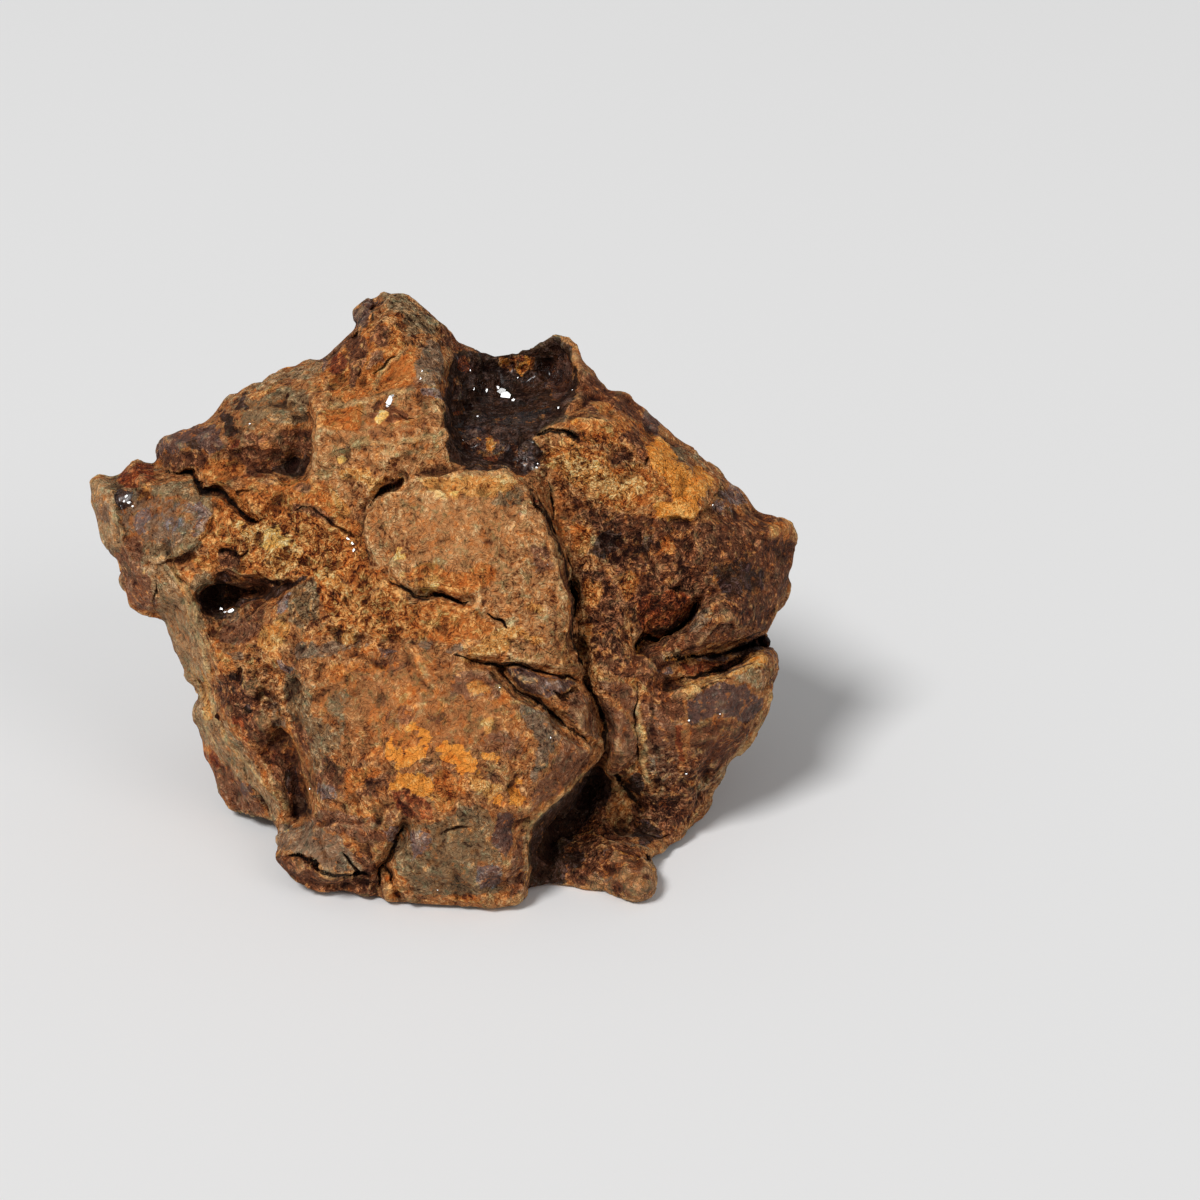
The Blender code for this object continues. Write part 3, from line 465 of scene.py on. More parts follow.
        ([(7.0, -3.2), (7.5, -4.0), (7.5, -5.2), (7.3, -6.4)], 0.5, 0.3, 0.04),
        ([(-7.9, -4.6), (-7.4, -5.6), (-6.9, -6.6), (-6.5, -7.8)], 0.7, 0.35, 0.06),
        ([(5.9, -6.7), (5.0, -7.9), (4.0, -8.9), (3.5, -10.0), (3.4, -11.4)], 0.8, 0.35, 0.05),
    ],
    # Pits and knobs: (u, v, half width, height)
    "bumps": [
        (6.7, 2.5, 0.3, -0.21), (7.15, 2.3, 0.25, -0.18), (6.5, 1.85, 0.2, -0.18), (7.05, 1.75, 0.2, -0.18),
        (6.1, 2.2, 0.2, -0.12), (5.55, 3.8, 0.3, -0.18), (7.6, 5.75, 0.25, -0.18), (7.3, 6.1, 0.2, -0.15),
        (-3.7, -0.3, 0.2, -0.18), (-3.1, -0.25, 0.18, -0.15), (-2.9, -0.05, 0.2, -0.15),
        (-5.3, 1.45, 0.25, -0.15), (-1.65, -1.25, 0.2, -0.18), (-7.6, -3.4, 0.45, 0.3),
        (-7.2, -5.0, 0.5, 0.25), (-6.55, -4.5, 0.35, 0.3), (-8.6, -2.5, 0.5, 0.2),
        (-8.0, -3.0, 0.25, -0.18), (4.8, 9.2, 0.9, -0.24), (3.4, 8.9, 0.35, -0.21), (1.6, 8.3, 0.4, -0.12),
        (0.9, 7.5, 0.4, -0.3), (-6.9, 2.2, 0.9, 0.35), (-2.45, -10.6, 0.3, -0.24), (-5.6, -8.4, 0.45, -0.3),
        (7.9, -10.8, 1.0, 0.8), (6.5, -10.5, 1.1, 0.5), (13.6, 2.6, 0.7, 0.15), (9.3, 2.1, 0.5, 0.15),
        (-10.3, 6.5, 0.6, 0.15), (-0.3, 8.2, 0.4, 0.15), (6.3, 5.5, 0.5, 0.15), (1.9, -5.0, 0.5, 0.08),
        (2.2, -6.3, 0.35, 0.07), (3.1, -7.8, 0.35, 0.07), (-12.1, 4.9, 0.4, 0.15), (7.7, -9.2, 0.5, -0.3),
        (9.0, -8.2, 0.35, -0.18), (8.6, -7.4, 0.3, -0.15), (10.2, -6.2, 0.3, 0.2), (9.9, -7.6, 0.35, 0.2),
        (5.7, 9.1, 0.4, 0.12), (-1.75, -11.4, 0.25, 0.15), (-9.5, -0.6, 0.35, 0.12),
        (-8.1, 1.4, 0.4, -0.15), (-8.3, 0.1, 1.0, 0.6), (-4.3, 2.85, 0.35, 0.2), (4.75, 8.9, 0.6, -0.2),
        (13.2, -4.0, 0.8, 0.1), (5.35, -0.5, 0.4, 0.3), (5.35, -1.4, 0.4, 0.3), (5.7, -2.4, 0.4, 0.3),
        (6.0, -3.2, 0.35, 0.25), (6.35, -4.3, 0.3, 0.25), (6.6, -5.2, 0.3, 0.2), (1.0, 8.2, 0.35, 0.16),
        (1.5, 7.3, 0.4, 0.2), (2.4, 7.1, 0.45, 0.16), (3.2, 7.5, 0.4, 0.16), (0.8, 9.0, 0.35, 0.16),
        (3.7, 8.2, 0.3, 0.12), (2.0, 9.0, 0.3, 0.14), (1.2, 6.6, 0.4, 0.22), (2.6, 6.4, 0.35, 0.18),
        (3.3, 6.0, 0.3, 0.16), (3.4, 8.9, 0.3, 0.2), (1.9, 9.6, 0.35, 0.14), (4.0, 7.1, 0.35, 0.14),
        (0.6, 6.1, 0.3, 0.16), (2.0, 5.9, 0.3, 0.16), (2.9, 9.7, 0.3, 0.16), (1.4, 8.9, 0.25, 0.12),
        (0.5, 7.2, 0.3, 0.16), (1.9, 6.5, 0.25, 0.14), (3.6, 5.5, 0.25, 0.14),
    ],
    # Where the surface is smooth, and where it is granular: (u, v, half width, half height, turn, strength)
    "smooth": [
        (-11.6, 3.2, 1.7, 1.2, 0, 0.85), (-10.3, -1.5, 0.7, 2.4, 15, 0.8), (-8.6, -6.6, 0.8, 2.2, 40, 0.7),
        (-0.5, -4.3, 3.8, 2.2, -10, 0.9), (0.5, -10.3, 2.0, 1.5, 0, 0.8), (12.2, 1.2, 1.8, 2.2, 0, 0.7),
        (7.4, 8.3, 2.4, 0.5, -40, 1.0), (5.6, 9.5, 0.5, 0.9, 30, 0.8), (-7.0, 7.6, 1.5, 0.6, 20, 0.6),
        (0.9, 3.0, 2.6, 2.0, 0, 0.8), (10.4, -5.6, 1.5, 1.5, 0, 0.6), (7.6, -10.9, 1.0, 0.8, -30, 0.8),
        (4.6, -7.4, 0.8, 2.0, -35, 0.6), (-4.8, -9.9, 1.6, 0.8, -15, 0.8), (-13.4, 3.6, 0.6, 1.8, 15, 0.7),
        (-12.2, 0.6, 0.8, 0.9, 0, 0.6), (11.3, -4.2, 1.7, 0.8, 15, 1.0), (-10.4, 6.4, 0.9, 0.5, 15, 0.8),
        (7.2, -5.0, 0.6, 1.8, 0, 0.8), (1.0, -4.5, 3.5, 1.5, -10, 0.5), (-3.8, -4.0, 1.3, 1.3, 0, 0.7),
        (2.5, -9.2, 0.9, 1.4, 0, 0.6), (0.8, 2.6, 2.2, 2.0, 0, 0.5), (-1.7, 9.4, 0.8, 1.1, 0, 0.6),
        (4.75, 8.9, 0.7, 0.9, 0, 0.9), (-2.5, 6.9, 2.6, 1.3, 3, 0.7), (-1.4, 9.3, 0.7, 1.0, -30, 0.9),
        (-13.3, 3.2, 0.5, 1.6, 15, 0.7), (4.6, -3.4, 0.9, 0.5, -20, 0.5), (-5.6, -6.8, 0.5, 1.2, 10, 0.6),
    ],
    "granular": [
        (9.5, 4.8, 0.9, 1.3, 40, 0.4), (2.2, 7.8, 2.2, 2.0, 0, 0.8), (1.3, 9.4, 1.1, 0.5, 0, 0.9),
        (3.1, 9.3, 0.9, 0.5, 0, 1.0), (1.7, 6.2, 1.3, 0.7, 0, 1.0), (3.4, 5.6, 0.8, 0.6, 0, 0.8),
        (-6.0, 2.2, 3.2, 1.6, -10, 1.0), (-3.0, -0.4, 2.6, 1.3, 0, 1.0), (6.6, 0.8, 1.4, 4.4, 0, 1.0),
        (6.2, 5.4, 2.4, 1.4, 0, 0.9), (9.4, -7.6, 2.0, 1.6, 0, 0.9), (10.6, 1.0, 3.0, 2.6, 0, 0.6),
        (2.0, 6.3, 1.6, 0.8, 0, 1.0), (-7.4, -3.6, 1.4, 1.4, 0, 0.8), (8.4, -0.6, 1.6, 1.2, 0, 0.8),
        (-1.0, 11.0, 1.6, 1.2, 0, 0.7), (6.2, -9.4, 0.9, 1.4, 0, 0.7),
    ],
}


def inFront(points, normals):
    return smoothstep(0.0, 0.4, normals @ towardEye)


def wander(places, points, seed, share=1.0):  # noise stirs the places, so that lines come out ragged
    coarse = np.column_stack([lumpy(points, 1.3, seed), lumpy(points, 1.3, seed + 1)]) * 0.16
    fine = np.column_stack([lumpy(points, 0.45, seed + 2), lumpy(points, 0.45, seed + 3)]) * 0.09
    return places + (coarse + fine) * share


def lineEnds(along, share):  # 1 along a line, fading out over this share of it at both ends
    return smoothstep(0.0, share, along) * smoothstep(1.0, 1.0 - share, along)


def shifted(points):  # the outline's small shifts
    place = toFace(points)
    moves = np.zeros_like(place)
    for u, v, reach, *shift in stoneShape["pulls"]:
        away = np.hypot(place[:, 0] - u, place[:, 1] - v) / reach
        moves += (1 - smoothstep(0.2, 1.0, away))[:, None] * np.array(shift)
    return toGround(place + moves)


def swollen(points, normals):
    place = toFace(points)
    for u, v, reach, height in stoneShape["swells"]:
        away = np.hypot(place[:, 0] - u, place[:, 1] - v) / reach
        points = points + normals * (height * (1 - smoothstep(0.4, 1.0, away)))[:, None]
    return points


def refined(mesh, reach):  # twice the points within this reach of a crack
    points, normals = readPoints(mesh)
    ragged = wander(toFace(points)[:, :2], points, stoneShape["seed"])
    wanted = np.zeros(len(points), bool)
    lines = [(line, 1) for line in stoneShape["cracks"] + stoneShape["ridges"]]
    for (line, halfWidth, depth), facing in lines + [(line, -1) for line in stoneShape["backCracks"]]:
        low, high = np.min(line, axis=0) - reach, np.max(line, axis=0) + reach
        outward = facing * normals @ towardEye > 0
        near = np.flatnonzero(np.all((ragged > low) & (ragged < high), axis=1) & outward)
        wanted[near[lineFacts(ragged[near], line)[0] < reach + halfWidth]] = True
    shell = bmesh.new()
    shell.from_mesh(mesh)
    shell.verts.ensure_lookup_table()
    chosen = [edge for edge in shell.edges if wanted[edge.verts[0].index] and wanted[edge.verts[1].index]]
    bmesh.ops.subdivide_edges(shell, edges=chosen, cuts=1, use_grid_fill=True)
    bmesh.ops.triangulate(shell, faces=[face for face in shell.faces if len(face.verts) > 4])
    shell.to_mesh(mesh)
    shell.free()


def crackDepths(places, lines, unevenness):
    depths = np.zeros(len(places))
    for line, halfWidth, depth in lines:
        away, side, along = lineFacts(places, line)
        width = stoneShape["crackWidth"] * halfWidth * unevenness * (0.4 + 0.6 * lineEnds(along, 0.4))
        profile = 1 - smoothstep(0.2, 1.2, away / width)
        depths += stoneShape["crackDepth"] * depth * lineEnds(along, 0.12) * profile
    return depths


def carve(points, normals):
    seen = inFront(points, normals)
    place = toFace(points)
    ragged = wander(place[:, :2], points, stoneShape["seed"])
    unevenness = 0.85 + 0.6 * lumpy(points, 0.9, stoneShape["seed"] + 9)
    rise = np.zeros(len(points))
    for line, height, reach in stoneShape["steps"]:
        away, side, along = lineFacts(ragged, line)
        ends = lineEnds(along, 0.18)
        side = side * np.sign(height)
        upper = np.where(side > 0, np.exp(-away / reach), -0.6 * np.exp(-away / (0.4 * reach)))
        rise += abs(height) * ends * smoothstep(0.0, 0.08, away) * upper
    for line, reach, spacing, height in stoneShape["flutes"]:
        away, side, along = lineFacts(ragged, line)
        ends = lineEnds(along, 0.15)
        waves = np.cos(2 * math.pi * (away * side / spacing + 0.5 * lumpy(points, 2.2, 17)))
        strength = 0.6 + 0.9 * lumpy(points, 0.9, 18)
        rise += height * strength * ends * smoothstep(reach, 0.5 * reach, away) * waves
    torn = 2 * ragged - place[:, :2]
    for u, v, halfWidth, height in stoneShape["bumps"]:
        away = np.hypot(torn[:, 0] - u, torn[:, 1] - v) / halfWidth
        rise += height * (1 - smoothstep(0.2, 1.3, away))
    for line, halfWidth, height in stoneShape["ridges"]:
        away, side, along = lineFacts(ragged, line)
        rise += height * lineEnds(along, 0.1) * (1 - smoothstep(0.2, 1.3, away / halfWidth))
    rise -= crackDepths(ragged, stoneShape["cracks"], unevenness)
    dug = crackDepths(ragged, stoneShape["backCracks"], unevenness)
    place[:, 2] += rise * seen + dug * smoothstep(0.1, 0.5, -normals @ towardEye)
    points[:] = toGround(place)


def backGrain(points):  # the back is granular in places: 1 there, 0 on its smoother plates
    return smoothstep(-0.05, 0.3, lumpy(points, 4.0, 31))


def roughen(points, normals):
    seen = smoothstep(-0.4, 0.1, normals @ towardEye)
    places = toFace(points)[:, :2]
    smooth = blobField(places, stoneShape["smooth"]) * seen
    granular = blobField(places, stoneShape["granular"]) * seen
    granular = np.maximum(granular, (1 - seen) * backGrain(points))
    seed = stoneShape["seed"]
    calm = 1 - 0.75 * smooth
    stirred = points + np.column_stack([lumpy(points, 0.8, seed + n) for n in (30, 31, 32)]) * 0.2
    relief = stoneShape["relief"]

    def chips(name, seed):
        size, tilt, most = relief[name]
        return np.clip(chipped(stirred, size, tilt, seed), -most, most)

    size, height = relief["swell"]
    amount = height * lumpy(points, size, seed + 20) * calm
    amount += chips("chips", seed + 25) * (0.4 + 0.6 * calm)
    amount += chips("smallChips", seed + 26) * (0.25 + 0.75 * calm)
    amount += chips("backChips", seed + 27) * (1 - seen)
    size, height = relief["creases"]
    amount += height * (0.4 - np.abs(lumpy(points, size, seed + 21))) * calm * (1 + 1.2 * granular)
    size, height = relief["knobs"]
    amount += height * lumpy(points, size, seed + 22) * calm * (1 + 2 * granular)
    size, height = relief["grains"]
    amount += height * (pebbly(points, size, seed + 23) - 0.4) * (0.1 + 1.0 * granular) * calm
    size, height = relief["fine"]
    amount += height * lumpy(points, size, seed + 24) * (0.4 + 0.6 * calm)
    amount *= smoothstep(0.0, 0.5, points[:, 2])
    points += normals * amount[:, None]


def relaxed(mesh, points, rounds):  # each point moved toward its neighbours
    edges = np.empty(len(mesh.edges) * 2, int)
    mesh.edges.foreach_get("vertices", edges)
    first, second = edges.reshape(-1, 2).T
    around = np.bincount(edges, minlength=len(points)).astype(float)[:, None]
    settled = points.copy()
    for _ in range(rounds):
        total = [
            np.bincount(first, side[second], len(points)) + np.bincount(second, side[first], len(points))
            for side in settled.T
        ]
        settled = 0.3 * settled + 0.7 * np.column_stack(total) / around
    return settled


def cavityOf(mesh, points, normals, rounds):  # above 0 in hollows and below 0 on edges, in mm
    return np.einsum("ij,ij->i", relaxed(mesh, points, rounds) - points, normals)


def stoneMesh():
    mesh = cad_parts["stone"].data.copy()
    shell = bmesh.new()
    shell.from_mesh(mesh)
    bmesh.ops.remove_doubles(shell, verts=shell.verts, dist=1e-6)
    bmesh.ops.scale(shell, vec=(1000, 1000, 1000), verts=shell.verts)
    shell.to_mesh(mesh)
    shell.free()
    rebuild = ("REMESH", {"mode": "VOXEL", "voxel_size": stoneShape["cell"]})
    soften = ("SMOOTH", {"factor": 0.5, "iterations": stoneShape["softenRounds"]})
    mesh = applyModifiers(mesh, rebuild, soften)
    points, normals = readPoints(mesh)
    writePoints(mesh, shifted(swollen(points, normals)))
    refined(mesh, stoneShape["refineReach"])
    points, normals = readPoints(mesh)
    carve(points, normals)
    writePoints(mesh, points)
    points, normals = readPoints(mesh)
    roughen(points, normals)
    points[:, 2] = np.maximum(points[:, 2], 0.0)
    writePoints(mesh, points)
    points, normals = readPoints(mesh)
    points += normals * np.minimum(cavityOf(mesh, points, normals, 3) + stoneShape["spike"], 0.0)[:, None]
    places = toFace(points)[:, :2]
    worn = np.zeros(len(points))
    for u, v, reach in stoneShape["worn"]:
        away = np.hypot(places[:, 0] - u, places[:, 1] - v) / reach
        worn = np.maximum(worn, 1 - smoothstep(0.6, 1.0, away))
    points += (relaxed(mesh, points, stoneShape["wornRounds"]) - points) * worn[:, None]
    writePoints(mesh, points)
    return thinned(mesh)


def triangleCount(mesh):
    return sum(len(polygon.vertices) - 2 for polygon in mesh.polygons)


def thinned(mesh):  # first round the back alone, then all of it
    points, normals = readPoints(mesh)
    hidden = inFront(points, normals) < 0.02
    holder = bpy.data.objects.new("holder", mesh)
    bpy.context.scene.collection.objects.link(holder)
    group = holder.vertex_groups.new(name="hidden")
    group.add([int(number) for number in np.flatnonzero(hidden)], 1.0, "ADD")
    total = triangleCount(mesh)
    wanted = 1 - (1 - stoneShape["backShare"]) * hidden.mean()
    settings = {"ratio": wanted, "vertex_group": "hidden", "use_collapse_triangulate": True}
    modifier = holder.modifiers.new("thin", "DECIMATE")
    for name, value in settings.items():
        setattr(modifier, name, value)
    made = bpy.data.meshes.new_from_object(holder.evaluated_get(bpy.context.evaluated_depsgraph_get()))
    bpy.data.objects.remove(holder)
    bpy.data.meshes.remove(mesh)
    between = triangleCount(made)
    share = min(1.0, stoneShape["triangles"] / between)
    print("stone: triangles", total, between, round(stoneShape["triangles"]))
    return applyModifiers(made, ("DECIMATE", {"ratio": share, "use_collapse_triangulate": True}))


print("stone: colours")
# Areas of colour on the broken face: tint, strength, softness of the border in mm, outline in (u, v)
stoneAreas = [
    # the left block and its knob
    ("olive", 0.95, 0.15, [(-14.4, 4.8), (-13, 5.1), (-12.6, 4.7), (-11.9, 4.5), (-11.3, 4.7), (-10.6, 4.8),
        (-10, 4.9), (-9.6, 4.4), (-9.2, 4.3), (-9.1, 3.6), (-9, 3.1), (-9.4, 2.7), (-9.6, 2), (-10.3, 1.6),
        (-11.2, 1.5), (-11.8, 1.5), (-13.3, 1.6), (-13.9, 2.6)]),
    ("grey", 0.6, 0.3, [(-13, 4.6), (-11, 4.4), (-9.4, 3.8), (-9.5, 2.8), (-10.5, 1.9), (-12.3, 2.3),
        (-13, 3)]),
    ("slate", 0.45, 0.3, [(-12, 4.2), (-10.4, 4.5), (-9.4, 3.9), (-9.6, 2.8), (-10.6, 2.2), (-11.6, 2.8)]),
    ("tan", 0.85, 0.2, [(-14.4, 4.8), (-13.1, 5), (-13, 4), (-13, 3), (-12.6, 2), (-13.4, 1.9), (-14, 3)]),
    ("slate", 0.9, 0.12, [(-10, 3.7), (-9.6, 3.9), (-9.3, 3.7), (-9.2, 3.1), (-9.7, 2.5), (-9.9, 2.8),
        (-9.7, 3.3)]),
    ("dark", 0.85, 0.15, [(-13, 4.3), (-12.7, 4.5), (-12.3, 4.2), (-12.3, 3.6), (-12.7, 3.5),
        (-12.9, 3.9)]),
    ("slate", 0.7, 0.2, [(-12.4, 3.4), (-11.4, 3.8), (-11.2, 3.3), (-11.8, 2.6), (-12.3, 2.8)]),
    ("straw", 0.8, 0.12, [(-11.9, 4.6), (-11.5, 4.6), (-11.5, 4.1), (-11.9, 3.8), (-12.3, 3.7),
        (-12.1, 4)]),
    ("mauve", 0.9, 0.15, [(-12.7, 2.4), (-12.3, 2.7), (-11.8, 2.6), (-11.7, 1.9), (-12.2, 1.6),
        (-12.7, 1.8)]),
    ("red", 0.8, 0.15, [(-13, 5), (-12.05, 5.7), (-11.4, 5.4), (-11.5, 4.9), (-11.8, 4.6), (-12.2, 4.4),
        (-12.7, 4.6)]),
    ("mauve", 0.85, 0.2, [(-13.3, 1.7), (-12.4, 2), (-11.7, 1.5), (-11.5, 0.6), (-11.3, -0.6),
        (-12.4, -0.4), (-12.8, 0.3)]),
    ("straw", 0.9, 0.06, [(-12, 1.3), (-11.8, 1.4), (-11.7, 1.2), (-11.9, 1)]),
    # the shoulder
    ("violet", 0.9, 0.2, [(-11.5, 6.3), (-10.9, 6.8), (-9.9, 7), (-9.2, 7.1), (-8.8, 6.8), (-8.6, 6.2),
        (-9.2, 6), (-10.2, 6), (-11.3, 5.6)]),
    ("dark", 0.75, 0.12, [(-10.1, 6.5), (-9.7, 6.5), (-9.4, 6.2), (-9.8, 5.95), (-10.1, 6.1)]),
    ("red", 0.55, 0.2, [(-9.4, 7.3), (-8.9, 7.6), (-8.8, 7), (-9.3, 6.9)]),
    ("dark", 0.7, 0.2, [(-8.9, 7.4), (-8.4, 7.6), (-8.1, 7.2), (-8.1, 6.6), (-8.5, 6.4), (-8.8, 6.8)]),
    ("red", 0.8, 0.12, [(-8.5, 6.3), (-8.2, 6.7), (-8, 6.4), (-8.3, 6)]),
    ("olive", 0.75, 0.3, [(-8.8, 7.7), (-8, 8.3), (-7, 8.3), (-6.3, 8.6), (-5.3, 8.5), (-5.2, 8), (-5.3, 7),
        (-5.9, 6.9), (-7, 7), (-7.6, 6.6), (-8, 7), (-8.1, 7.5)]),
    ("dark", 0.7, 0.15, [(-8.1, 8.3), (-7.8, 8.3), (-7.6, 7.8), (-7.8, 7.4), (-8.1, 7.7)]),
    ("tan", 0.85, 0.25, [(-9.4, 7.3), (-8.4, 8.3), (-8, 8.7), (-6.7, 9.1), (-5.6, 9.5), (-4.7, 10),
        (-4.6, 9.5), (-5.4, 8.9), (-6.3, 8.7), (-7, 8.4), (-7.9, 8.4), (-8.9, 7.6)]),
    ("brown", 0.85, 0.4, [(-8, 6.5), (-7, 6.8), (-6.1, 6.8), (-5.2, 6.7), (-5.1, 5.9), (-5.3, 5),
        (-6.3, 4.9), (-8, 4.8), (-8.6, 5.5), (-8.2, 6)]),
    # painted shade in the undercut left of the banded plate
    ("dark", 0.95, 0.25, [(-6.8, 5.1), (-6.2, 5.4), (-5.7, 5.7), (-5.2, 5.8), (-5.3, 5.1), (-6.1, 4.85),
        (-6.7, 4.95)]),
    ("brown", 0.8, 0.25, [(-11.3, 5.6), (-10.2, 6), (-9, 6), (-8.3, 5.8), (-9, 5.3), (-9.9, 5.3),
        (-10.8, 5)]),
    ("warm", 0.8, 0.3, [(-9.3, 5.9), (-8.2, 5.9), (-7.7, 5), (-8.8, 4.5), (-9.6, 4.9), (-9.7, 5.3)]),
    ("grey", 0.5, 0.3, [(-8.4, 6), (-7.4, 6.4), (-7.3, 5.7), (-8, 5.5)]),
    # the valley and what lies round it
    ("warm", 0.95, 0.4, [(-9.3, 3.3), (-8.4, 4.4), (-5.3, 4.9), (-4.5, 4.2), (-3.3, 3.2), (-3.2, 2.4),
        (-2.6, 1.4), (-1.6, 0.6), (-1.2, -0.4), (-2.6, -1.2), (-4, -1.1), (-5, 0), (-5.3, 0.7), (-7.4, 0.8),
        (-8.6, 1.3), (-9.2, 1.9), (-9.7, 2.4)]),
    ("pale", 0.95, 0.2, [(-7.6, 2.7), (-7.2, 2.7), (-6.8, 3), (-6.3, 3.1), (-6.3, 2.5), (-5.8, 2),
        (-6.2, 1.6), (-6.9, 1.7), (-7.3, 2.2)]),
    ("straw", 0.7, 0.3, [(-8.5, 3.3), (-7.6, 3.2), (-6.6, 3.2), (-5.9, 2.5), (-5.4, 1.8), (-6, 1.3),
        (-7.2, 1.6), (-7.9, 2.4)]),
    ("pale", 0.7, 0.12, [(-8.2, 3.2), (-7.8, 3.3), (-7.7, 3), (-8.1, 2.9)]),
    ("pale", 1.0, 0.12, [(-7.5, 2.6), (-7.1, 2.55), (-6.9, 2.95), (-6.3, 3.0), (-6.5, 2.5), (-5.9, 2.1),
        (-6.4, 2.0), (-6.6, 1.7), (-6.9, 2.0), (-7.3, 1.9), (-7.1, 2.3)]),
    ("red", 0.38, 0.25, [(-8.9, 4.1), (-7.8, 4.2), (-6.9, 4.3), (-7, 3.6), (-8, 3.6)]),
    ("red", 0.4, 0.3, [(-4.9, 3), (-4.1, 2.9), (-3.6, 2.4), (-3.5, 1.6), (-4.1, 1.3), (-4.8, 1.5),
        (-5.2, 2.2)]),
    ("brown", 0.65, 0.3, [(-6.2, 3.9), (-5, 3.9), (-4, 3.2), (-4.1, 2.8), (-5.2, 3.2), (-6.1, 3.3)]),
    ("straw", 0.7, 0.3, [(-5.3, 1.2), (-4.3, 1.3), (-3.5, 0.9), (-3.2, 0.4), (-4.2, 0.2), (-5, 0.6)]),
    ("straw", 0.65, 0.3, [(-4.7, 4.7), (-4, 4.6), (-3.3, 3.6), (-3.6, 3.1), (-4.4, 3.7)]),
    ("warm", 1.0, 0.12, [(-8, 1.9), (-7.2, 2.1), (-6.9, 1.5), (-7, 0.9), (-7.9, 0.9)]),
    ("warm", 0.9, 0.15, [(-9.9, 1.7), (-9.1, 2), (-8.9, 1.4), (-9.2, 1.1), (-9.9, 1.2)]),
    ("brown", 0.9, 0.15, [(-9, 2), (-8.4, 2.1), (-8, 1.9), (-8, 1), (-8.8, 1)]),
    # painted shade in the recess under the overhang
    ("dark", 1.0, 0.15, [(-9.85, 0.3), (-9.2, 0.4), (-8.9, 1.1), (-8.6, 1.2), (-8.2, 0.9), (-7.9, 0.6),
        (-6.8, 0.6), (-5.3, 0.85), (-5.9, 0.5), (-6.6, 0.1), (-7.9, -0.3), (-8.5, -0.9), (-9.2, -0.9),
        (-9.6, -0.4)]),
    ("brown", 0.8, 0.15, [(-8.1, 0.75), (-7, 0.75), (-6, 0.85), (-6.6, 0.5), (-7.6, 0.45)]),
    ("olive", 0.95, 0.1, [(-10, 1), (-9.2, 0.95), (-9.1, 0.5), (-9.5, 0.2), (-10, 0.4)]),
    ("olive", 0.95, 0.1, [(-9.9, 0), (-9.6, -0.3), (-9.4, -0.7), (-9.2, -1.2), (-9.6, -1.1),
        (-9.95, -0.6)]),
    ("red", 0.8, 0.1, [(-9.4, -1.3), (-9.1, -1.3), (-9.1, -1.7), (-9.3, -1.6)]),
    ("mauve", 0.85, 0.3, [(-8.9, -1), (-8, -0.6), (-7, -0.5), (-6.9, -1.1), (-7.7, -1.8), (-8.8, -1.7)]),
    ("straw", 0.75, 0.25, [(-7.1, -0.9), (-6.1, -0.7), (-6, -1.6), (-6.8, -2.2), (-7.4, -1.8)]),
    ("slate", 0.9, 0.12, [(-6.5, 0), (-5.9, 0.25), (-5.7, -0.4), (-6.3, -0.6)]),
    ("olive", 0.85, 0.2, [(-5.9, 0.5), (-5.2, 0.75), (-4.9, 0.2), (-4.8, -0.8), (-5.5, -1.3), (-6, -0.9)]),
    ("grey", 0.7, 0.12, [(-9, -1.7), (-8, -2.1), (-7.6, -2.7), (-8.2, -2.5), (-8.8, -2)]),
    ("brown", 0.5, 0.4, [(-3.8, -0.1), (-2.5, 0.3), (-2.6, -0.6), (-3.8, -0.7)]),
    ("warm", 1.0, 0.3, [(-4.2, -0.9), (-2.4, -0.6), (-0.9, -0.1), (0.5, -0.2), (1.4, -0.4), (2.1, -0.9),
        (1.8, -1.5), (0.9, -1.7), (-0.1, -1.5), (-1, -1.6), (-2.4, -1.4), (-4, -1.2)]),
    # the central plate
    ("clay", 0.9, 0.3, [(-3.1, 3.6), (-2.5, 4.2), (-1.5, 4.9), (0, 5.15), (1.2, 5.35), (2.6, 5.2),
        (3.3, 4.8), (3.7, 4.1), (4.3, 3.3), (4.6, 2.4), (5, 1.3), (5.2, 0.2), (5.1, -1.2), (4.2, -2.1),
        (3, -1.5), (1.8, -0.5), (0.8, 0), (-0.5, 0.1), (-1.1, 0.3), (-2, 0.8), (-2.6, 1.4), (-3.1, 2.3)]),
    ("straw", 0.8, 0.35, [(-0.9, 4.9), (0.8, 5.2), (2.8, 5.2), (3.3, 4.6), (2.3, 4), (0.9, 4),
        (-0.4, 4.3)]),
    ("pale", 0.6, 0.2, [(0.1, 4.4), (0.8, 4.7), (1.4, 4.7), (1, 4.2), (0.3, 4.1)]),
    ("olive", 0.85, 0.25, [(2, 3.6), (2.3, 4.2), (2.9, 4.6), (3.4, 4.4), (3.3, 3.8), (2.8, 3.5)]),
    ("slate", 0.6, 0.15, [(3.1, 3.7), (3.5, 3.7), (3.5, 3.3), (3.2, 3.2)]),
    ("slate", 0.55, 0.25, [(1.3, 2.5), (2.3, 2.5), (2.5, 2.2), (1.9, 1.8), (1.5, 2)]),
    ("mauve", 0.42, 0.3, [(-1.2, 3.4), (0.2, 3.8), (1.8, 3.3), (1, 2.4), (0, 2.2), (-0.9, 2.6)]),
    ("warm", 0.8, 0.35, [(-1.9, 1), (-0.5, 1.7), (0.8, 1.4), (2, 1.6), (2.4, 1), (1.8, 0.4), (0.5, 0.05),
        (-0.3, 0.3), (-1.1, 0.5)]),
    ("pale", 1.0, 0.12, [(-0.95, 0.7), (-0.6, 0.95), (-0.2, 0.85), (0.1, 0.6), (0, 0.4), (-0.3, 0.25),
        (-0.8, 0.3)]),
    ("pale", 0.8, 0.1, [(-1.9, 2.1), (-1.6, 1.9), (-1.3, 1.6), (-1.7, 1.5), (-1.95, 1.7)]),
    ("mauve", 0.6, 0.3, [(3.3, 2.2), (4.5, 2.3), (4.9, 1.2), (4.2, 0.6), (3.3, 1.1)]),
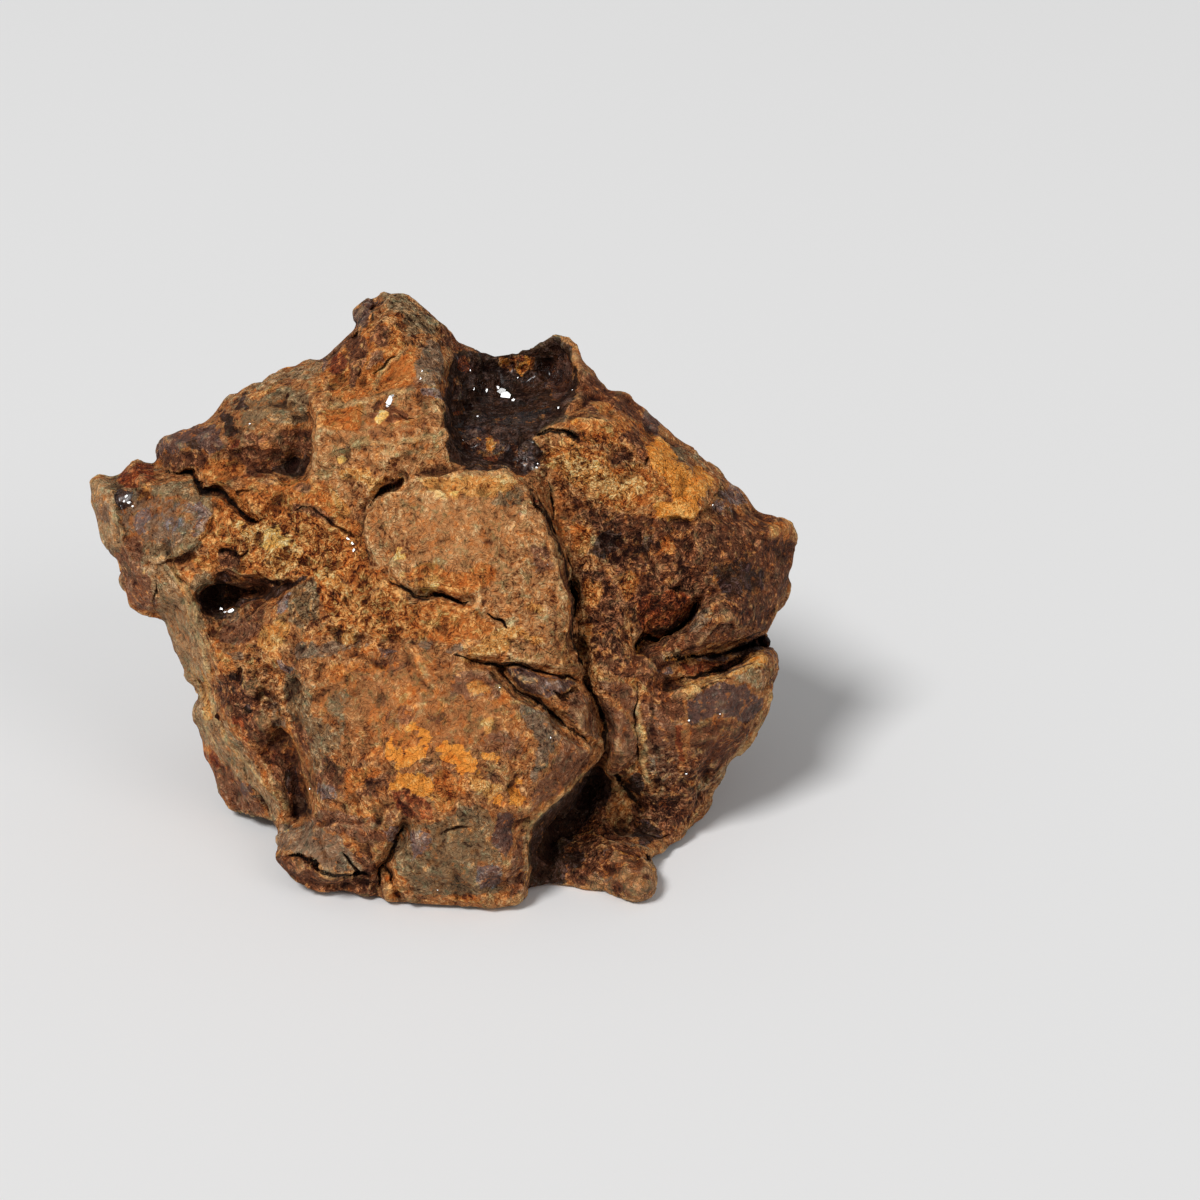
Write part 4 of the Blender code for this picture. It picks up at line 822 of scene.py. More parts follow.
    ("brown", 0.5, 0.25, [(4.2, 0.8), (4.9, 0.9), (5.1, -0.2), (4.8, -1.4), (4.1, -0.7)]),
    ("straw", 0.6, 0.3, [(2.7, 2.6), (3.3, 2.4), (3.2, 2), (2.7, 2)]),
    ("straw", 0.85, 0.2, [(0.9, -2.3), (1.7, -1.6), (2.2, -1.1), (3, -1), (4.4, -1.6), (3.4, -2),
        (2.3, -2.2), (1.3, -2.4)]),
    ("straw", 0.65, 0.25, [(3.2, -0.1), (4.3, 0.1), (4.4, -0.8), (3.6, -0.6)]),
    ("clay", 0.8, 0.2, [(3, -1.3), (4.2, -1.9), (5.2, -2.9), (3.8, -2.7), (2.4, -2.3)]),
    # the peak
    ("warm", 0.85, 0.35, [(-4.7, 9.3), (-3.6, 10.5), (-2.8, 11.2), (-2.2, 10.7), (-1.6, 11.2), (-1.2, 10.5),
        (-0.9, 10), (-0.9, 9.4), (-0.9, 8.5), (-1.7, 8.3), (-2.8, 8), (-4, 7.9), (-4.5, 8.3), (-4.6, 8.9)]),
    ("brown", 0.7, 0.25, [(-4.2, 10.2), (-3.3, 10.9), (-2.9, 10.3), (-3, 9.4), (-3.3, 8.4), (-3.8, 8.5),
        (-3.7, 9.4)]),
    ("mauve", 0.7, 0.3, [(-3, 10), (-2.3, 10.2), (-2.4, 9.4), (-3, 9.2)]),
    ("red", 1.0, 0.1, [(-4.4, 9.7), (-4, 9.8), (-3.7, 9.5), (-3.8, 9.1), (-4.3, 9.0)]),
    ("slate", 0.7, 0.12, [(-4.8, 9.7), (-4.5, 9.9), (-4.4, 9.3), (-4.7, 9.1)]),
    ("violet", 0.9, 0.15, [(-3.7, 10.8), (-3.4, 11.8), (-2.9, 12.2), (-2.6, 11.9), (-2.8, 11.4),
        (-3.1, 11)]),
    ("olive", 0.85, 0.25, [(-2.6, 11.9), (-2.2, 12.6), (-1.4, 12.4), (-0.7, 11.7), (0.1, 11), (-0.4, 10.5),
        (-1.2, 10.6), (-1.4, 11.2), (-2, 11.4)]),
    ("grey", 0.8, 0.2, [(-1, 9.5), (-0.5, 10.4), (0.1, 10.3), (0.3, 9.4), (0.2, 8.6), (-0.8, 8.5)]),
    ("slate", 0.85, 0.08, [(-0.8, 8.45), (0.2, 8.4), (0.2, 8.05), (-0.7, 8.05)]),
    ("brown", 0.85, 0.2, [(0, 10.9), (0.8, 10.5), (1.3, 10.1), (0.6, 9.9), (0, 10.3)]),
    # the banded plate
    ("clay", 1.0, 0.2, [(-5, 7.6), (-3.5, 7.9), (-1.8, 8.2), (-0.8, 8), (0.1, 7.9), (0.1, 7), (0.4, 6.7),
        (0.4, 5.5), (-0.2, 5.2), (-1, 5), (-1.8, 4.9), (-2.8, 4.3), (-3.3, 3.6), (-4.5, 4.6), (-5.2, 5.2),
        (-5.2, 5.9), (-5, 6.6)]),
    ("plain", 0.8, 0.3, [(-3, 7.6), (-1, 7.8), (0, 7.4), (0.1, 6.6), (-1.5, 6.5), (-3, 6.6)]),
    ("warm", 0.8, 0.3, [(-4.9, 7.7), (-3, 7.9), (-3, 7.3), (-3.4, 6.7), (-4.9, 7)]),
    ("grey", 0.55, 0.3, [(-4.8, 6.8), (-4, 6.8), (-3.9, 6.2), (-4.6, 6.2)]),
    ("olive", 0.6, 0.25, [(-2, 6), (-0.9, 6.3), (0, 6.4), (0.2, 6.1), (-0.8, 5.8), (-1.8, 5.7)]),
    ("brown", 0.6, 0.35, [(-3.3, 7.7), (-1.9, 8), (-0.9, 7.9), (-1, 7.2), (-2.2, 7), (-3.1, 7.1)]),
    ("pale", 0.9, 0.12, [(-2.7, 7.4), (-2.3, 7.7), (-2.1, 7.5), (-2.5, 7.2)]),
    ("pale", 0.8, 0.1, [(-4.2, 5.6), (-3.8, 5.8), (-3.7, 5.5), (-4, 5.35)]),
    ("straw", 0.6, 0.3, [(-4.2, 5.3), (-2.8, 5.6), (-2.3, 5), (-2.9, 4.4), (-4, 4.6)]),
    ("brown", 0.7, 0.12, [(-2.8, 7.9), (-2.2, 8.1), (-2.2, 7.7), (-2.8, 7.6)]),
    # the bowl
    ("dark", 1.0, 0.2, [(0.15, 7.9), (0.3, 8.6), (0.3, 9.4), (0.5, 9.9), (1.3, 10.1), (2, 10), (3, 10.2),
        (4.2, 10.5), (4.8, 10.5), (5.2, 10), (5.5, 9.2), (5.6, 8.3), (5.3, 7.9), (5, 7.4), (4.8, 7.1),
        (4, 6.7), (3.7, 6.4), (4.1, 6), (4, 5.4), (3.4, 5.1), (2.6, 5.4), (1.2, 5.4), (0.45, 5.5),
        (0.5, 6.6), (0.15, 7)]),
    ("red", 0.85, 0.15, [(2, 9.4), (2.3, 9.7), (2.9, 9.8), (3.9, 9.9), (3.9, 9.2), (3.4, 9), (2.8, 9.2)]),
    ("ochre", 0.75, 0.05, [(3.2, 9.5), (3.6, 9.7), (3.75, 9.5), (3.5, 9.2)]),
    ("red", 0.95, 0.1, [(1.1, 6.45), (1.9, 6.55), (2.4, 6.45), (2.2, 6.1), (1.7, 6.15)]),
    ("red", 0.6, 0.2, [(0.5, 9.9), (1.2, 9.9), (1, 9.2), (0.6, 9.2)]),
    ("red", 0.6, 0.15, [(0.5, 7.8), (1, 7.6), (0.9, 7.1), (0.5, 7.2)]),
    ("crust", 0.6, 0.4, [(2, 7.5), (3, 7.8), (4.8, 7.9), (4.8, 7.4), (4, 6.9), (2.6, 6.7), (2, 6.9)]),
    ("violet", 0.55, 0.2, [(0.7, 7), (1.4, 7), (2.8, 6.4), (3.6, 6.1), (3.9, 5.4), (2.8, 5.7), (1.2, 5.8),
        (0.6, 6)]),
    ("red", 0.6, 0.12, [(1.5, 6.1), (2.4, 6), (2.4, 5.5), (1.6, 5.6)]),
    # right of the bowl
    ("brown", 0.75, 0.3, [(5.5, 9.8), (6.2, 9.2), (6.7, 8.6), (7.5, 8.3), (8.3, 7.7), (9, 7), (8.5, 6.7),
        (7.9, 7.2), (6.6, 7.5), (5.8, 7.6), (5.5, 8.2)]),
    ("warm", 0.8, 0.25, [(5.9, 8), (6.5, 8.1), (7, 8), (6.9, 7.5), (6.2, 7.5)]),
    ("tan", 0.6, 0.2, [(5.4, 10), (6, 9.4), (6.6, 8.7), (5.9, 8.9), (5.6, 9.3)]),
    ("violet", 0.85, 0.2, [(7.9, 7.4), (8.3, 7.7), (9, 7), (8.6, 6.7), (8, 7)]),
    ("warm", 0.95, 0.25, [(5, 7.4), (6.2, 7.4), (7.2, 7.3), (8, 7.2), (8.6, 6.7), (9.2, 6.3), (8.3, 6),
        (7.3, 6.5), (6, 6.2), (5.4, 6.9)]),
    ("ochre", 0.95, 0.08, [(5.05, 7.15), (5.4, 7.45), (5.7, 7.25), (5.3, 7.05)]),
    ("brown", 0.7, 0.25, [(7, 6.8), (7.9, 6.9), (8.4, 6.2), (8.3, 5.2), (7.9, 5.3), (7.6, 6), (7.1, 6.3)]),
    ("warm", 0.9, 0.3, [(4.1, 5.9), (5, 6.4), (5.9, 6.1), (6.5, 5.8), (6.9, 5.2), (7.8, 5.3), (9, 5),
        (9.1, 4.2), (8, 3.7), (7, 3.8), (6, 4.1), (5, 4.8), (4.3, 5.2)]),
    ("straw", 0.8, 0.2, [(4.4, 5.7), (5.4, 5.9), (6.2, 5.4), (7.2, 4.9), (8.2, 4.9), (8.4, 4.3), (7, 4.1),
        (5.8, 4.6), (4.8, 5.2)]),
    ("brown", 0.6, 0.2, [(6.6, 6), (7.4, 6.2), (7.6, 5.6), (7.2, 5.2), (6.6, 5.4)]),
    ("brown", 0.75, 0.15, [(5.2, 4.2), (5.6, 4.1), (5.8, 3.6), (5.4, 3.5), (5.2, 3.8)]),
    ("pale", 0.7, 0.15, [(6, 5.5), (6.3, 5.7), (6.6, 5.2), (6.3, 5)]),
    ("ochre", 1.0, 0.1, [(8.3, 5.9), (8.6, 6.4), (9.2, 6.3), (9.4, 5.9), (9.8, 5.4), (10.6, 5.4),
        (10.8, 4.9), (10.8, 4.4), (10.6, 3.9), (10.3, 3.4), (9.9, 3.2), (9.2, 3.3), (8.5, 3.4), (8.6, 3.8),
        (9.3, 4), (9.2, 4.8), (8.6, 5.2), (8.3, 5.5)]),
    ("olive", 0.7, 0.15, [(9.2, 6.1), (9.6, 6.2), (10.2, 5.9), (10, 5.5), (9.4, 5.6)]),
    ("pale", 0.42, 0.3, [(9.1, 5.7), (10.4, 5.2), (10.6, 4.3), (9.6, 4.1)]),
    ("tan", 0.7, 0.2, [(9.4, 6.4), (10.2, 6), (11, 5.4), (11.2, 4.9), (10.8, 5.2), (10, 5.7)]),
    ("slate", 0.6, 0.3, [(10.7, 3.7), (11.1, 4.5), (11.4, 4.9), (12, 4.6), (12.5, 3.8), (11.6, 3.4),
        (10.9, 3.2)]),
    ("dark", 0.7, 0.15, [(11, 4), (11.3, 4.5), (11.6, 4), (11.2, 3.8)]),
    # the dark right side
    ("brown", 0.85, 0.5, [(4.9, 3.9), (7, 3.7), (8.5, 3.3), (10, 3.1), (10.8, 3.3), (12.5, 3.5),
        (13.6, 3.4), (14.5, 2.2), (14.2, 1), (13.6, 0), (13.2, -1.4), (12, -1.6), (10, -2.2), (8, -3),
        (7.9, -1.6), (7.2, -0.2), (6.9, 1.2), (6.6, 2.6), (5.6, 3.2)]),
    ("brown", 0.6, 0.3, [(5.2, 1.2), (6.6, 1.6), (7.4, 0.3), (7.6, -1.5), (8, -3.2), (7, -3.2), (6.2, -2.8),
        (5.6, -1.6), (5.5, 0)]),
    ("warm", 0.75, 0.3, [(5.1, 3.2), (6.1, 3), (6.2, 2.2), (5.9, 1.5), (5.2, 1.8)]),
    ("dark", 0.9, 0.2, [(6.3, 2.8), (7.2, 2.7), (7.2, 2), (6.8, 1.6), (6.2, 1.9)]),
    ("dark", 0.6, 0.25, [(7.8, 3.2), (8.6, 3.1), (8.6, 1.8), (8.2, 1), (7.7, 1.6), (7.9, 2.4)]),
    ("warm", 0.85, 0.2, [(8.7, 2.4), (9.2, 2.7), (9.7, 2.2), (9.4, 1.7), (8.8, 1.8)]),
    ("warm", 0.7, 0.2, [(12.8, 3.2), (13.8, 3.2), (14.1, 2.5), (13.2, 2.3)]),
    ("dark", 0.52, 0.4, [(10, 1.6), (12, 2), (13.6, 1.4), (13.2, 0), (11.6, -0.4), (10.6, 0.6)]),
    ("warm", 0.6, 0.2, [(12.2, 2.9), (12.5, 3), (12.4, 2.5), (12.1, 2.5)]),
    ("warm", 0.6, 0.2, [(10.8, 1), (11.3, 1), (11.3, 0.5), (10.9, 0.5)]),
    ("warm", 0.75, 0.1, [(11, -0.6), (11.3, -0.6), (11.3, -1), (11, -1)]),
    ("warm", 0.7, 0.25, [(5.6, 0.9), (6.5, 0.9), (6.8, 0.3), (6.3, -0.5), (5.6, -0.2)]),
    ("straw", 0.65, 0.2, [(5.4, -1.2), (6, -1.3), (6.2, -1.8), (5.6, -2)]),
    ("red", 0.75, 0.3, [(7.9, -1.2), (8.6, -1.6), (9.3, -1.2), (9.9, -0.7), (10.2, -0.1), (9.8, 0.4),
        (9, 0.5), (8.2, 0.3), (7.7, -0.4)]),
    ("dark", 0.7, 0.2, [(8.4, -1.1), (9, -1), (9.7, -0.4), (9.9, -0.8), (9, -1.6), (8.5, -1.6)]),
    ("red", 0.5, 0.2, [(8.1, -1.5), (9.2, -1.7), (8.9, -2.2), (8, -2.1)]),
    ("grey", 0.65, 0.3, [(10, -0.4), (11, 0), (11.1, -0.8), (10.4, -1.4), (9.5, -1.6)]),
    ("mauve", 0.55, 0.3, [(10.4, -0.9), (12, -0.7), (13, -1), (12.6, -1.5), (11, -1.8), (10, -1.9)]),
    ("olive", 0.75, 0.2, [(8.6, -2), (9.7, -1.7), (9.6, -2.3), (8.8, -2.5)]),
    ("slate", 0.75, 0.15, [(8.5, -2.7), (9.2, -2.5), (9.2, -3.1), (8.6, -3.2)]),
    ("slate", 0.9, 0.1, [(10.1, -2.25), (11.3, -2.1), (11.8, -2.25), (11.3, -2.45), (10.2, -2.5)]),
    ("red", 0.8, 0.15, [(9.4, -2.5), (10.2, -2.5), (11.4, -2.5), (11.7, -2.2), (11.7, -2.6), (10.8, -2.9),
        (9.6, -3)]),
    # painted shade in the wide crack
    ("dark", 1.0, 0.1, [(12, -1.6), (13, -1.4), (13.2, -1.8), (12.2, -2.3), (11.7, -2.1)]),
    # the lower right rim
    # the rim's pale edge, partly a painted highlight
    ("straw", 0.9, 0.2, [(8.6, -3.7), (10, -3.2), (11.5, -2.8), (12.6, -2.1), (13.2, -2), (13.3, -2.7),
        (12.2, -2.9), (10.8, -3.35), (10, -3.9), (9.3, -4)]),
    ("ochre", 0.85, 0.12, [(12.3, -2.4), (12.9, -2.2), (13, -2.6), (12.4, -2.65)]),
    ("tan", 0.8, 0.2, [(11.6, -2.95), (12.9, -2.8), (13, -3.6), (12, -3.4)]),
    ("violet", 1.0, 0.15, [(9.8, -4.3), (10.3, -3.8), (11.2, -3.3), (12.0, -3.4), (12.9, -3.8),
        (12.7, -4.7), (12.3, -5), (11.2, -4.7), (10.4, -4.6), (9.9, -4.9)]),
    ("brown", 0.8, 0.4, [(9.9, -4.9), (11, -4.7), (12.3, -5), (12.7, -5.3), (11.8, -6.4), (11, -7.6),
        (10.4, -8.4), (9.4, -9.4), (8, -10.1), (7.4, -9), (7.8, -7.8), (9, -7.6), (9.8, -7)]),
    ("mauve", 0.5, 0.25, [(10.8, -4.9), (12.1, -5), (11.6, -6), (10.9, -6.3)]),
    ("tan", 0.8, 0.12, [(12.6, -5.1), (12.3, -5.3), (11.4, -6.5), (10.9, -7.6), (11.3, -7.3), (12, -6.3)]),
    ("warm", 0.6, 0.2, [(9.6, -7.2), (10.6, -7.2), (10.7, -7.7), (9.9, -7.8)]),
    ("mauve", 0.85, 0.3, [(8, -3.9), (9, -3.7), (9.7, -4.4), (9.6, -6.4), (9.7, -7.1), (9.2, -7.6),
        (8.6, -7.2), (8.2, -6.2), (7.9, -5)]),
    ("straw", 1.0, 0.08, [(7.95, -4.9), (8.2, -4.9), (8.35, -5.5), (8.2, -6), (8.05, -5.8)]),
    ("warm", 0.45, 0.2, [(8.3, -3.9), (9.1, -3.8), (9.2, -4.9), (8.5, -4.9)]),
    ("red", 0.75, 0.15, [(9.3, -4.8), (9.6, -4.8), (9.8, -6.4), (9.5, -6.8), (9.4, -6)]),
    ("grey", 0.6, 0.2, [(8.2, -6), (8.8, -6.2), (8.9, -7.2), (8.5, -7.1)]),
    ("violet", 0.9, 0.25, [(7.7, -8.9), (8.3, -8.8), (9, -9.2), (9.1, -9.6), (8.2, -9.7)]),
    # the column and the wedge
    ("mauve", 0.75, 0.25, [(6, -3.05), (7.2, -3.2), (7.9, -3.9), (7.9, -4.9), (7.6, -4.7), (7, -4.1),
        (6.3, -3.6)]),
    ("mauve", 0.85, 0.25, [(6.3, -3.9), (7, -4.2), (7.6, -4.8), (7.9, -5.6), (7.9, -6.4), (7.4, -7),
        (6.6, -6.6), (6.6, -5.2)]),
    ("brown", 0.6, 0.2, [(6.6, -6), (7.9, -6.2), (7.4, -7.2), (6.8, -7.4), (6.6, -6.8)]),
    ("dark", 0.65, 0.2, [(7.2, -7.1), (8, -6.6), (8.3, -7.4), (8.2, -8), (7.5, -7.6)]),
    ("violet", 0.95, 0.12, [(2.4, -2.75), (3.4, -2.7), (4.3, -2.95), (5, -3.1), (5.5, -3.4), (4.9, -3.7),
        (4.2, -3.9), (3.3, -3.6), (2.8, -3.2)]),
    ("slate", 0.7, 0.15, [(4.2, -3), (5, -3.1), (4.9, -3.5), (4.4, -3.8), (4.1, -3.5)]),
    ("mauve", 0.95, 0.15, [(5, -3.9), (5.6, -3.6), (6.1, -4.3), (6.4, -4.9), (6.3, -5.6), (5.6, -5.2),
        (5, -4.8), (4.8, -4.3)]),
    ("tan", 0.5, 0.2, [(5.1, -4), (5.6, -3.8), (6, -4.5), (5.6, -4.8)]),
    # the great plate
    ("plain", 0.8, 0.3, [(-3, -2), (0.2, -2.1), (2.3, -2.9), (3, -3.8), (1.6, -4.6), (-2, -4.4)]),
    ("olive", 0.5, 0.5, [(-5, -3), (-3.5, -3), (-2.9, -4), (-3.1, -5.2), (-4, -6), (-4.6, -5.4),
        (-5, -4.2)]),
    ("slate", 0.75, 0.2, [(-6.6, -2.4), (-5.8, -2.5), (-5.8, -3), (-6.6, -2.9)]),
    ("slate", 0.75, 0.12, [(-2.5, -1.9), (-1.7, -1.95), (-1.7, -2.25), (-2.4, -2.3)]),
    ("slate", 0.7, 0.12, [(-4.3, -1.1), (-3.6, -1.15), (-3.7, -1.45), (-4.3, -1.4)]),
    ("grey", 0.85, 0.12, [(0.1, -1.6), (0.9, -1.65), (0.9, -2), (0.1, -2)]),
    ("grey", 0.8, 0.12, [(-0.95, -1.6), (-0.4, -1.6), (-0.4, -2.05), (-0.9, -2)]),
    ("grey", 0.75, 0.25, [(-5.9, -1.9), (-4.2, -1.5), (-3, -1.6), (-2.8, -2), (-4.2, -2.3), (-5.6, -2.5)]),
    ("olive", 0.9, 0.25, [(-6.3, -2.9), (-5.4, -3), (-5.1, -3.8), (-5.2, -4.9), (-5.9, -4.8), (-6.2, -4)]),
    ("warm", 0.65, 0.3, [(-4.9, -2.5), (-3.6, -2.4), (-1.7, -2.5), (-1.8, -3), (-3.6, -3), (-4.8, -2.9)]),
    ("mauve", 0.8, 0.3, [(0.3, -2.8), (1.4, -2.7), (2.3, -3.1), (2.6, -3.9), (1.3, -4.1), (0.4, -3.6)]),
    ("grey", 0.8, 0.25, [(3.1, -4.1), (4.2, -4.5), (5, -5.2), (4.7, -6.2), (4.1, -7), (3.5, -7.9),
        (3.8, -6.6), (4, -5.6), (3.4, -4.9)]),
    ("mauve", 0.8, 0.25, [(5, -5.3), (5.9, -5.8), (6.1, -6.5), (5.2, -7.3), (4, -8.2), (3.5, -8.8),
        (3.9, -7.4), (4.7, -6.4)]),
    ("mauve", 0.5, 0.4, [(1.6, -4.8), (3.6, -5), (3.8, -6.4), (2.6, -7), (1.5, -5.9)]),
    ("brown", 0.6, 0.4, [(-5.5, -5.2), (-4.4, -5.9), (-3.8, -6.3), (-2.6, -6.4), (-2, -7.2), (-2.1, -8.4),
        (-3.6, -8), (-4.6, -8.2), (-5.3, -7.6)]),
    ("olive", 0.55, 0.3, [(-5.6, -5), (-4.8, -5.4), (-4.2, -6.4), (-4.3, -7.4), (-5.2, -7.3),
        (-5.4, -6.2)]),
    ("slate", 0.8, 0.2, [(-4.9, -7.4), (-4.2, -7.4), (-4.1, -7.9), (-4.8, -8.1)]),
    ("warm", 0.7, 0.25, [(-3.9, -6.9), (-2.4, -6.4), (-2.1, -6.9), (-3, -7.6), (-3.8, -7.9)]),
    ("brown", 0.47, 0.6, [(-3, -3.7), (0.8, -3.8), (1.3, -5.3), (-0.8, -6.2), (-2.8, -5.6)]),
    ("ochre", 1.0, 0.08, [(-2.4, -5.9), (-1.6, -5.5), (-1.2, -5.15), (-0.5, -5.15), (-0.2, -5.6),
        (-0.5, -6.1), (-0.9, -6.3), (-1.2, -6.7), (-1.6, -6.85), (-1.9, -6.5), (-2.2, -6.3)]),
    ("ochre", 1.0, 0.08, [(-0.3, -6), (0.1, -5.5), (0.9, -5.6), (1.3, -6.1), (1.6, -6.5), (1.6, -6.9),
        (0.9, -6.9), (0.5, -6.6), (-0.1, -6.4)]),
    ("ochre", 1.0, 0.06, [(1.8, -6.15), (2.2, -6.05), (2.55, -6.35), (2.3, -6.65), (2, -6.5)]),
    ("ochre", 1.0, 0.07, [(2.7, -7.5), (3.2, -7.4), (3.4, -8.3), (3.1, -8.5), (2.8, -8.3)]),
    ("straw", 0.95, 0.15, [(1.1, -7), (1.6, -7), (2.1, -7.4), (2.5, -7.2), (2.5, -8.3), (2.1, -8.4),
        (1.8, -7.9), (1.3, -7.6)]),
    ("ochre", 0.8, 0.06, [(2.1, -8), (2.5, -7.9), (2.5, -8.4), (2.1, -8.4)]),
    ("ochre", 0.8, 0.06, [(3.1, -7.1), (3.5, -7.15), (3.4, -7.4), (3.1, -7.4)]),
    ("straw", 0.9, 0.08, [(1.7, -4.8), (2.1, -4.8), (2.15, -5.4), (1.8, -5.5)]),
    ("ochre", 0.8, 0.12, [(-1.9, -7.4), (-1.5, -7), (-0.8, -6.9), (-0.4, -7.3), (0, -7), (0.1, -7.5),
        (-0.2, -8), (-0.6, -7.7), (-1.3, -7.5), (-1.8, -7.7)]),
    ("red", 0.85, 0.2, [(-2, -7.7), (-1.2, -7.6), (-0.5, -7.9), (-0.3, -8.6), (-1, -8.7), (-1.7, -8.5)]),
    ("warm", 0.9, 0.2, [(-0.4, -6.9), (0.6, -7), (0.9, -7.6), (0.3, -8.4), (-0.3, -8.2)]),
    ("violet", 0.8, 0.25, [(2.2, -8.5), (3.2, -8.7), (3, -9.6), (2.5, -10.3), (2.1, -9.6)]),
    ("olive", 0.9, 0.3, [(-1.6, -9), (-0.5, -8.8), (0.5, -8.4), (1.6, -8.1), (2.1, -8.9), (2.2, -9.8),
        (2.5, -10.6), (2.7, -11.8), (1, -11.9), (-1, -11.9), (-1.8, -10.5)]),
    ("slate", 0.7, 0.3, [(-1.4, -9.1), (-0.3, -8.9), (-0.2, -10), (-1.2, -10.6)]),
    ("slate", 0.7, 0.3, [(1.2, -10.3), (2.5, -10.4), (2.7, -11.7), (1.5, -11.6)]),
    ("warm", 0.7, 0.12, [(0.6, -11.8), (1.4, -11.8), (2.2, -12.3), (1.2, -12.2), (0.2, -12.2)]),
    ("mauve", 0.85, 0.2, [(2.8, -10), (3.3, -9.4), (3.6, -10.8), (3.6, -11.9), (2.9, -12.1), (2.7, -11)]),
    ("tan", 0.7, 0.1, [(3.2, -9.5), (3.5, -9.1), (3.5, -10.6), (3.5, -11.6), (3.3, -11)]),
    # the block at the lower left and the ditch above it
    ("mauve", 0.9, 0.2, [(-5.5, -8.5), (-4.2, -8.4), (-3, -8.7), (-2.2, -8.9), (-2.5, -9.7), (-3.6, -9.7),
        (-4.3, -9.4), (-5.3, -8.9)]),
    ("grey", 0.95, 0.15, [(-6.3, -9), (-5.2, -8.9), (-4.3, -9.4), (-3.9, -9.9), (-3.4, -10.6), (-3, -10.9),
        (-4.3, -10.9), (-5.3, -10.2), (-6.4, -10.1)]),
    ("tan", 0.9, 0.12, [(-6.7, -8.8), (-6.4, -8.9), (-6.4, -10.3), (-6.7, -10.3)]),
    ("brown", 0.95, 0.12, [(-6.5, -10.3), (-5.4, -10.3), (-4.6, -10.9), (-2.6, -11.1), (-2.5, -12.2),
        (-4.5, -11.8), (-5.3, -11.8), (-6.1, -11.4)]),
    ("brown", 0.95, 0.12, [(-3.8, -9.9), (-3.2, -10), (-2.6, -10.3), (-2.6, -10.9), (-3.1, -10.9),
        (-3.5, -10.5)]),
    ("slate", 0.85, 0.12, [(-2.3, -9.2), (-1.6, -9), (-1.7, -9.8), (-2.2, -9.8)]),
    ("warm", 0.75, 0.12, [(-2.3, -10.9), (-1.9, -11.2), (-1.5, -11.9), (-2.3, -12.1)]),
    ("straw", 0.7, 0.1, [(-3, -9.9), (-2.3, -9.8), (-2.3, -10.1), (-2.9, -10.15)]),
    ("brown", 0.95, 0.25, [(-7.2, -5.8), (-6.2, -5.6), (-5.6, -6.5), (-5.4, -7.6), (-5.1, -8.7),
        (-5.9, -8.9), (-6.4, -8), (-6.7, -7)]),
    ("dark", 0.85, 0.2, [(-6.3, -6.7), (-5.8, -6.5), (-5.5, -7.6), (-5.2, -8.7), (-5.9, -8.8), (-5.9, -7.9),
        (-6.3, -7.4)]),
    ("crust", 0.9, 0.15, [(-6, -7.9), (-5.4, -7.9), (-5.2, -8.6), (-5.9, -8.8)]),
    ("grey", 0.8, 0.1, [(-6.9, -4.1), (-6.3, -4.1), (-6.2, -5.2), (-6.7, -5)]),
    ("slate", 0.9, 0.12, [(-7.7, -4.9), (-7.1, -4.7), (-6.9, -5.2), (-7.2, -5.7), (-7.6, -5.5)]),
    ("olive", 0.8, 0.1, [(-7.6, -4.4), (-7.1, -4.4), (-7.2, -4.8), (-7.5, -4.7)]),
    ("ochre", 0.6, 0.12, [(-7.9, -3.2), (-7.4, -3.1), (-7.3, -3.7), (-7.4, -3.9), (-7.9, -3.7)]),
    ("warm", 0.95, 0.15, [(-9, -2), (-8.5, -2.1), (-8.1, -2.8), (-8.7, -3), (-9, -2.7)]),
    ("brown", 0.62, 0.3, [(-9.2, -3), (-7.9, -2.6), (-7.2, -3), (-7, -4), (-6.6, -5.7), (-7.4, -6.3),
        (-8.4, -5), (-9, -4)]),
    ("red", 0.6, 0.25, [(-8.6, -4.4), (-8, -4.3), (-7.6, -5.7), (-7.9, -5.9)]),
    ("red", 0.5, 0.3, [(-7.4, -6), (-6.6, -5.5), (-6.1, -6), (-6.6, -7), (-7, -7.3), (-7.3, -6.6)]),
    ("dark", 0.8, 0.12, [(-8.4, -2.9), (-8, -2.7), (-7.9, -3.1), (-8.3, -3.3)]),
    ("dark", 0.8, 0.1, [(-7.9, -4.4), (-7.5, -4.2), (-7.4, -4.6), (-7.7, -4.7)]),
    # the left flank and the lobe below it
    ("tan", 0.98, 0.15, [(-11.8, 1.4), (-11.0, 1.6), (-10.6, 0.6), (-10, -0.1), (-9.6, -1.2), (-9.3, -2.2),
        (-9.2, -3.8), (-8.9, -4.6), (-8.3, -5.5), (-7.6, -6.5), (-6.9, -7.3), (-6.5, -8.1), (-6.5, -8.9),
        (-6.9, -8.6), (-7.6, -7.7), (-8.6, -6.5), (-9.4, -5.6), (-10, -4.9), (-10.1, -4), (-9.7, -3.6),
        (-10.3, -3.1), (-10.8, -2), (-11, -1), (-11.3, -0.4)]),
    # the flank's pale edge, partly a painted highlight
    ("straw", 0.85, 0.12, [(-9.6, -2.8), (-9.3, -2.9), (-9.1, -4.6), (-9.4, -4.9), (-9.55, -3.9)]),
    ("mauve", 0.95, 0.2, [(-9.5, -6.1), (-8.9, -6.4), (-8.1, -7), (-7.4, -7.9), (-7, -8.7), (-7.7, -9),
        (-8.3, -8.5), (-9.2, -7.1)]),
    ("red", 0.7, 0.15, [(-9.4, -6.1), (-8.8, -6.1), (-8.6, -6.8), (-9.2, -6.8)]),
    ("violet", 0.8, 0.15, [(-8.1, -7.4), (-7.6, -7.4), (-7.4, -7.9), (-8, -7.9)]),
    ("dark", 0.6, 0.1, [(-7.7, -7.8), (-7.2, -7.8), (-7.3, -8.2), (-7.6, -8.2)]),
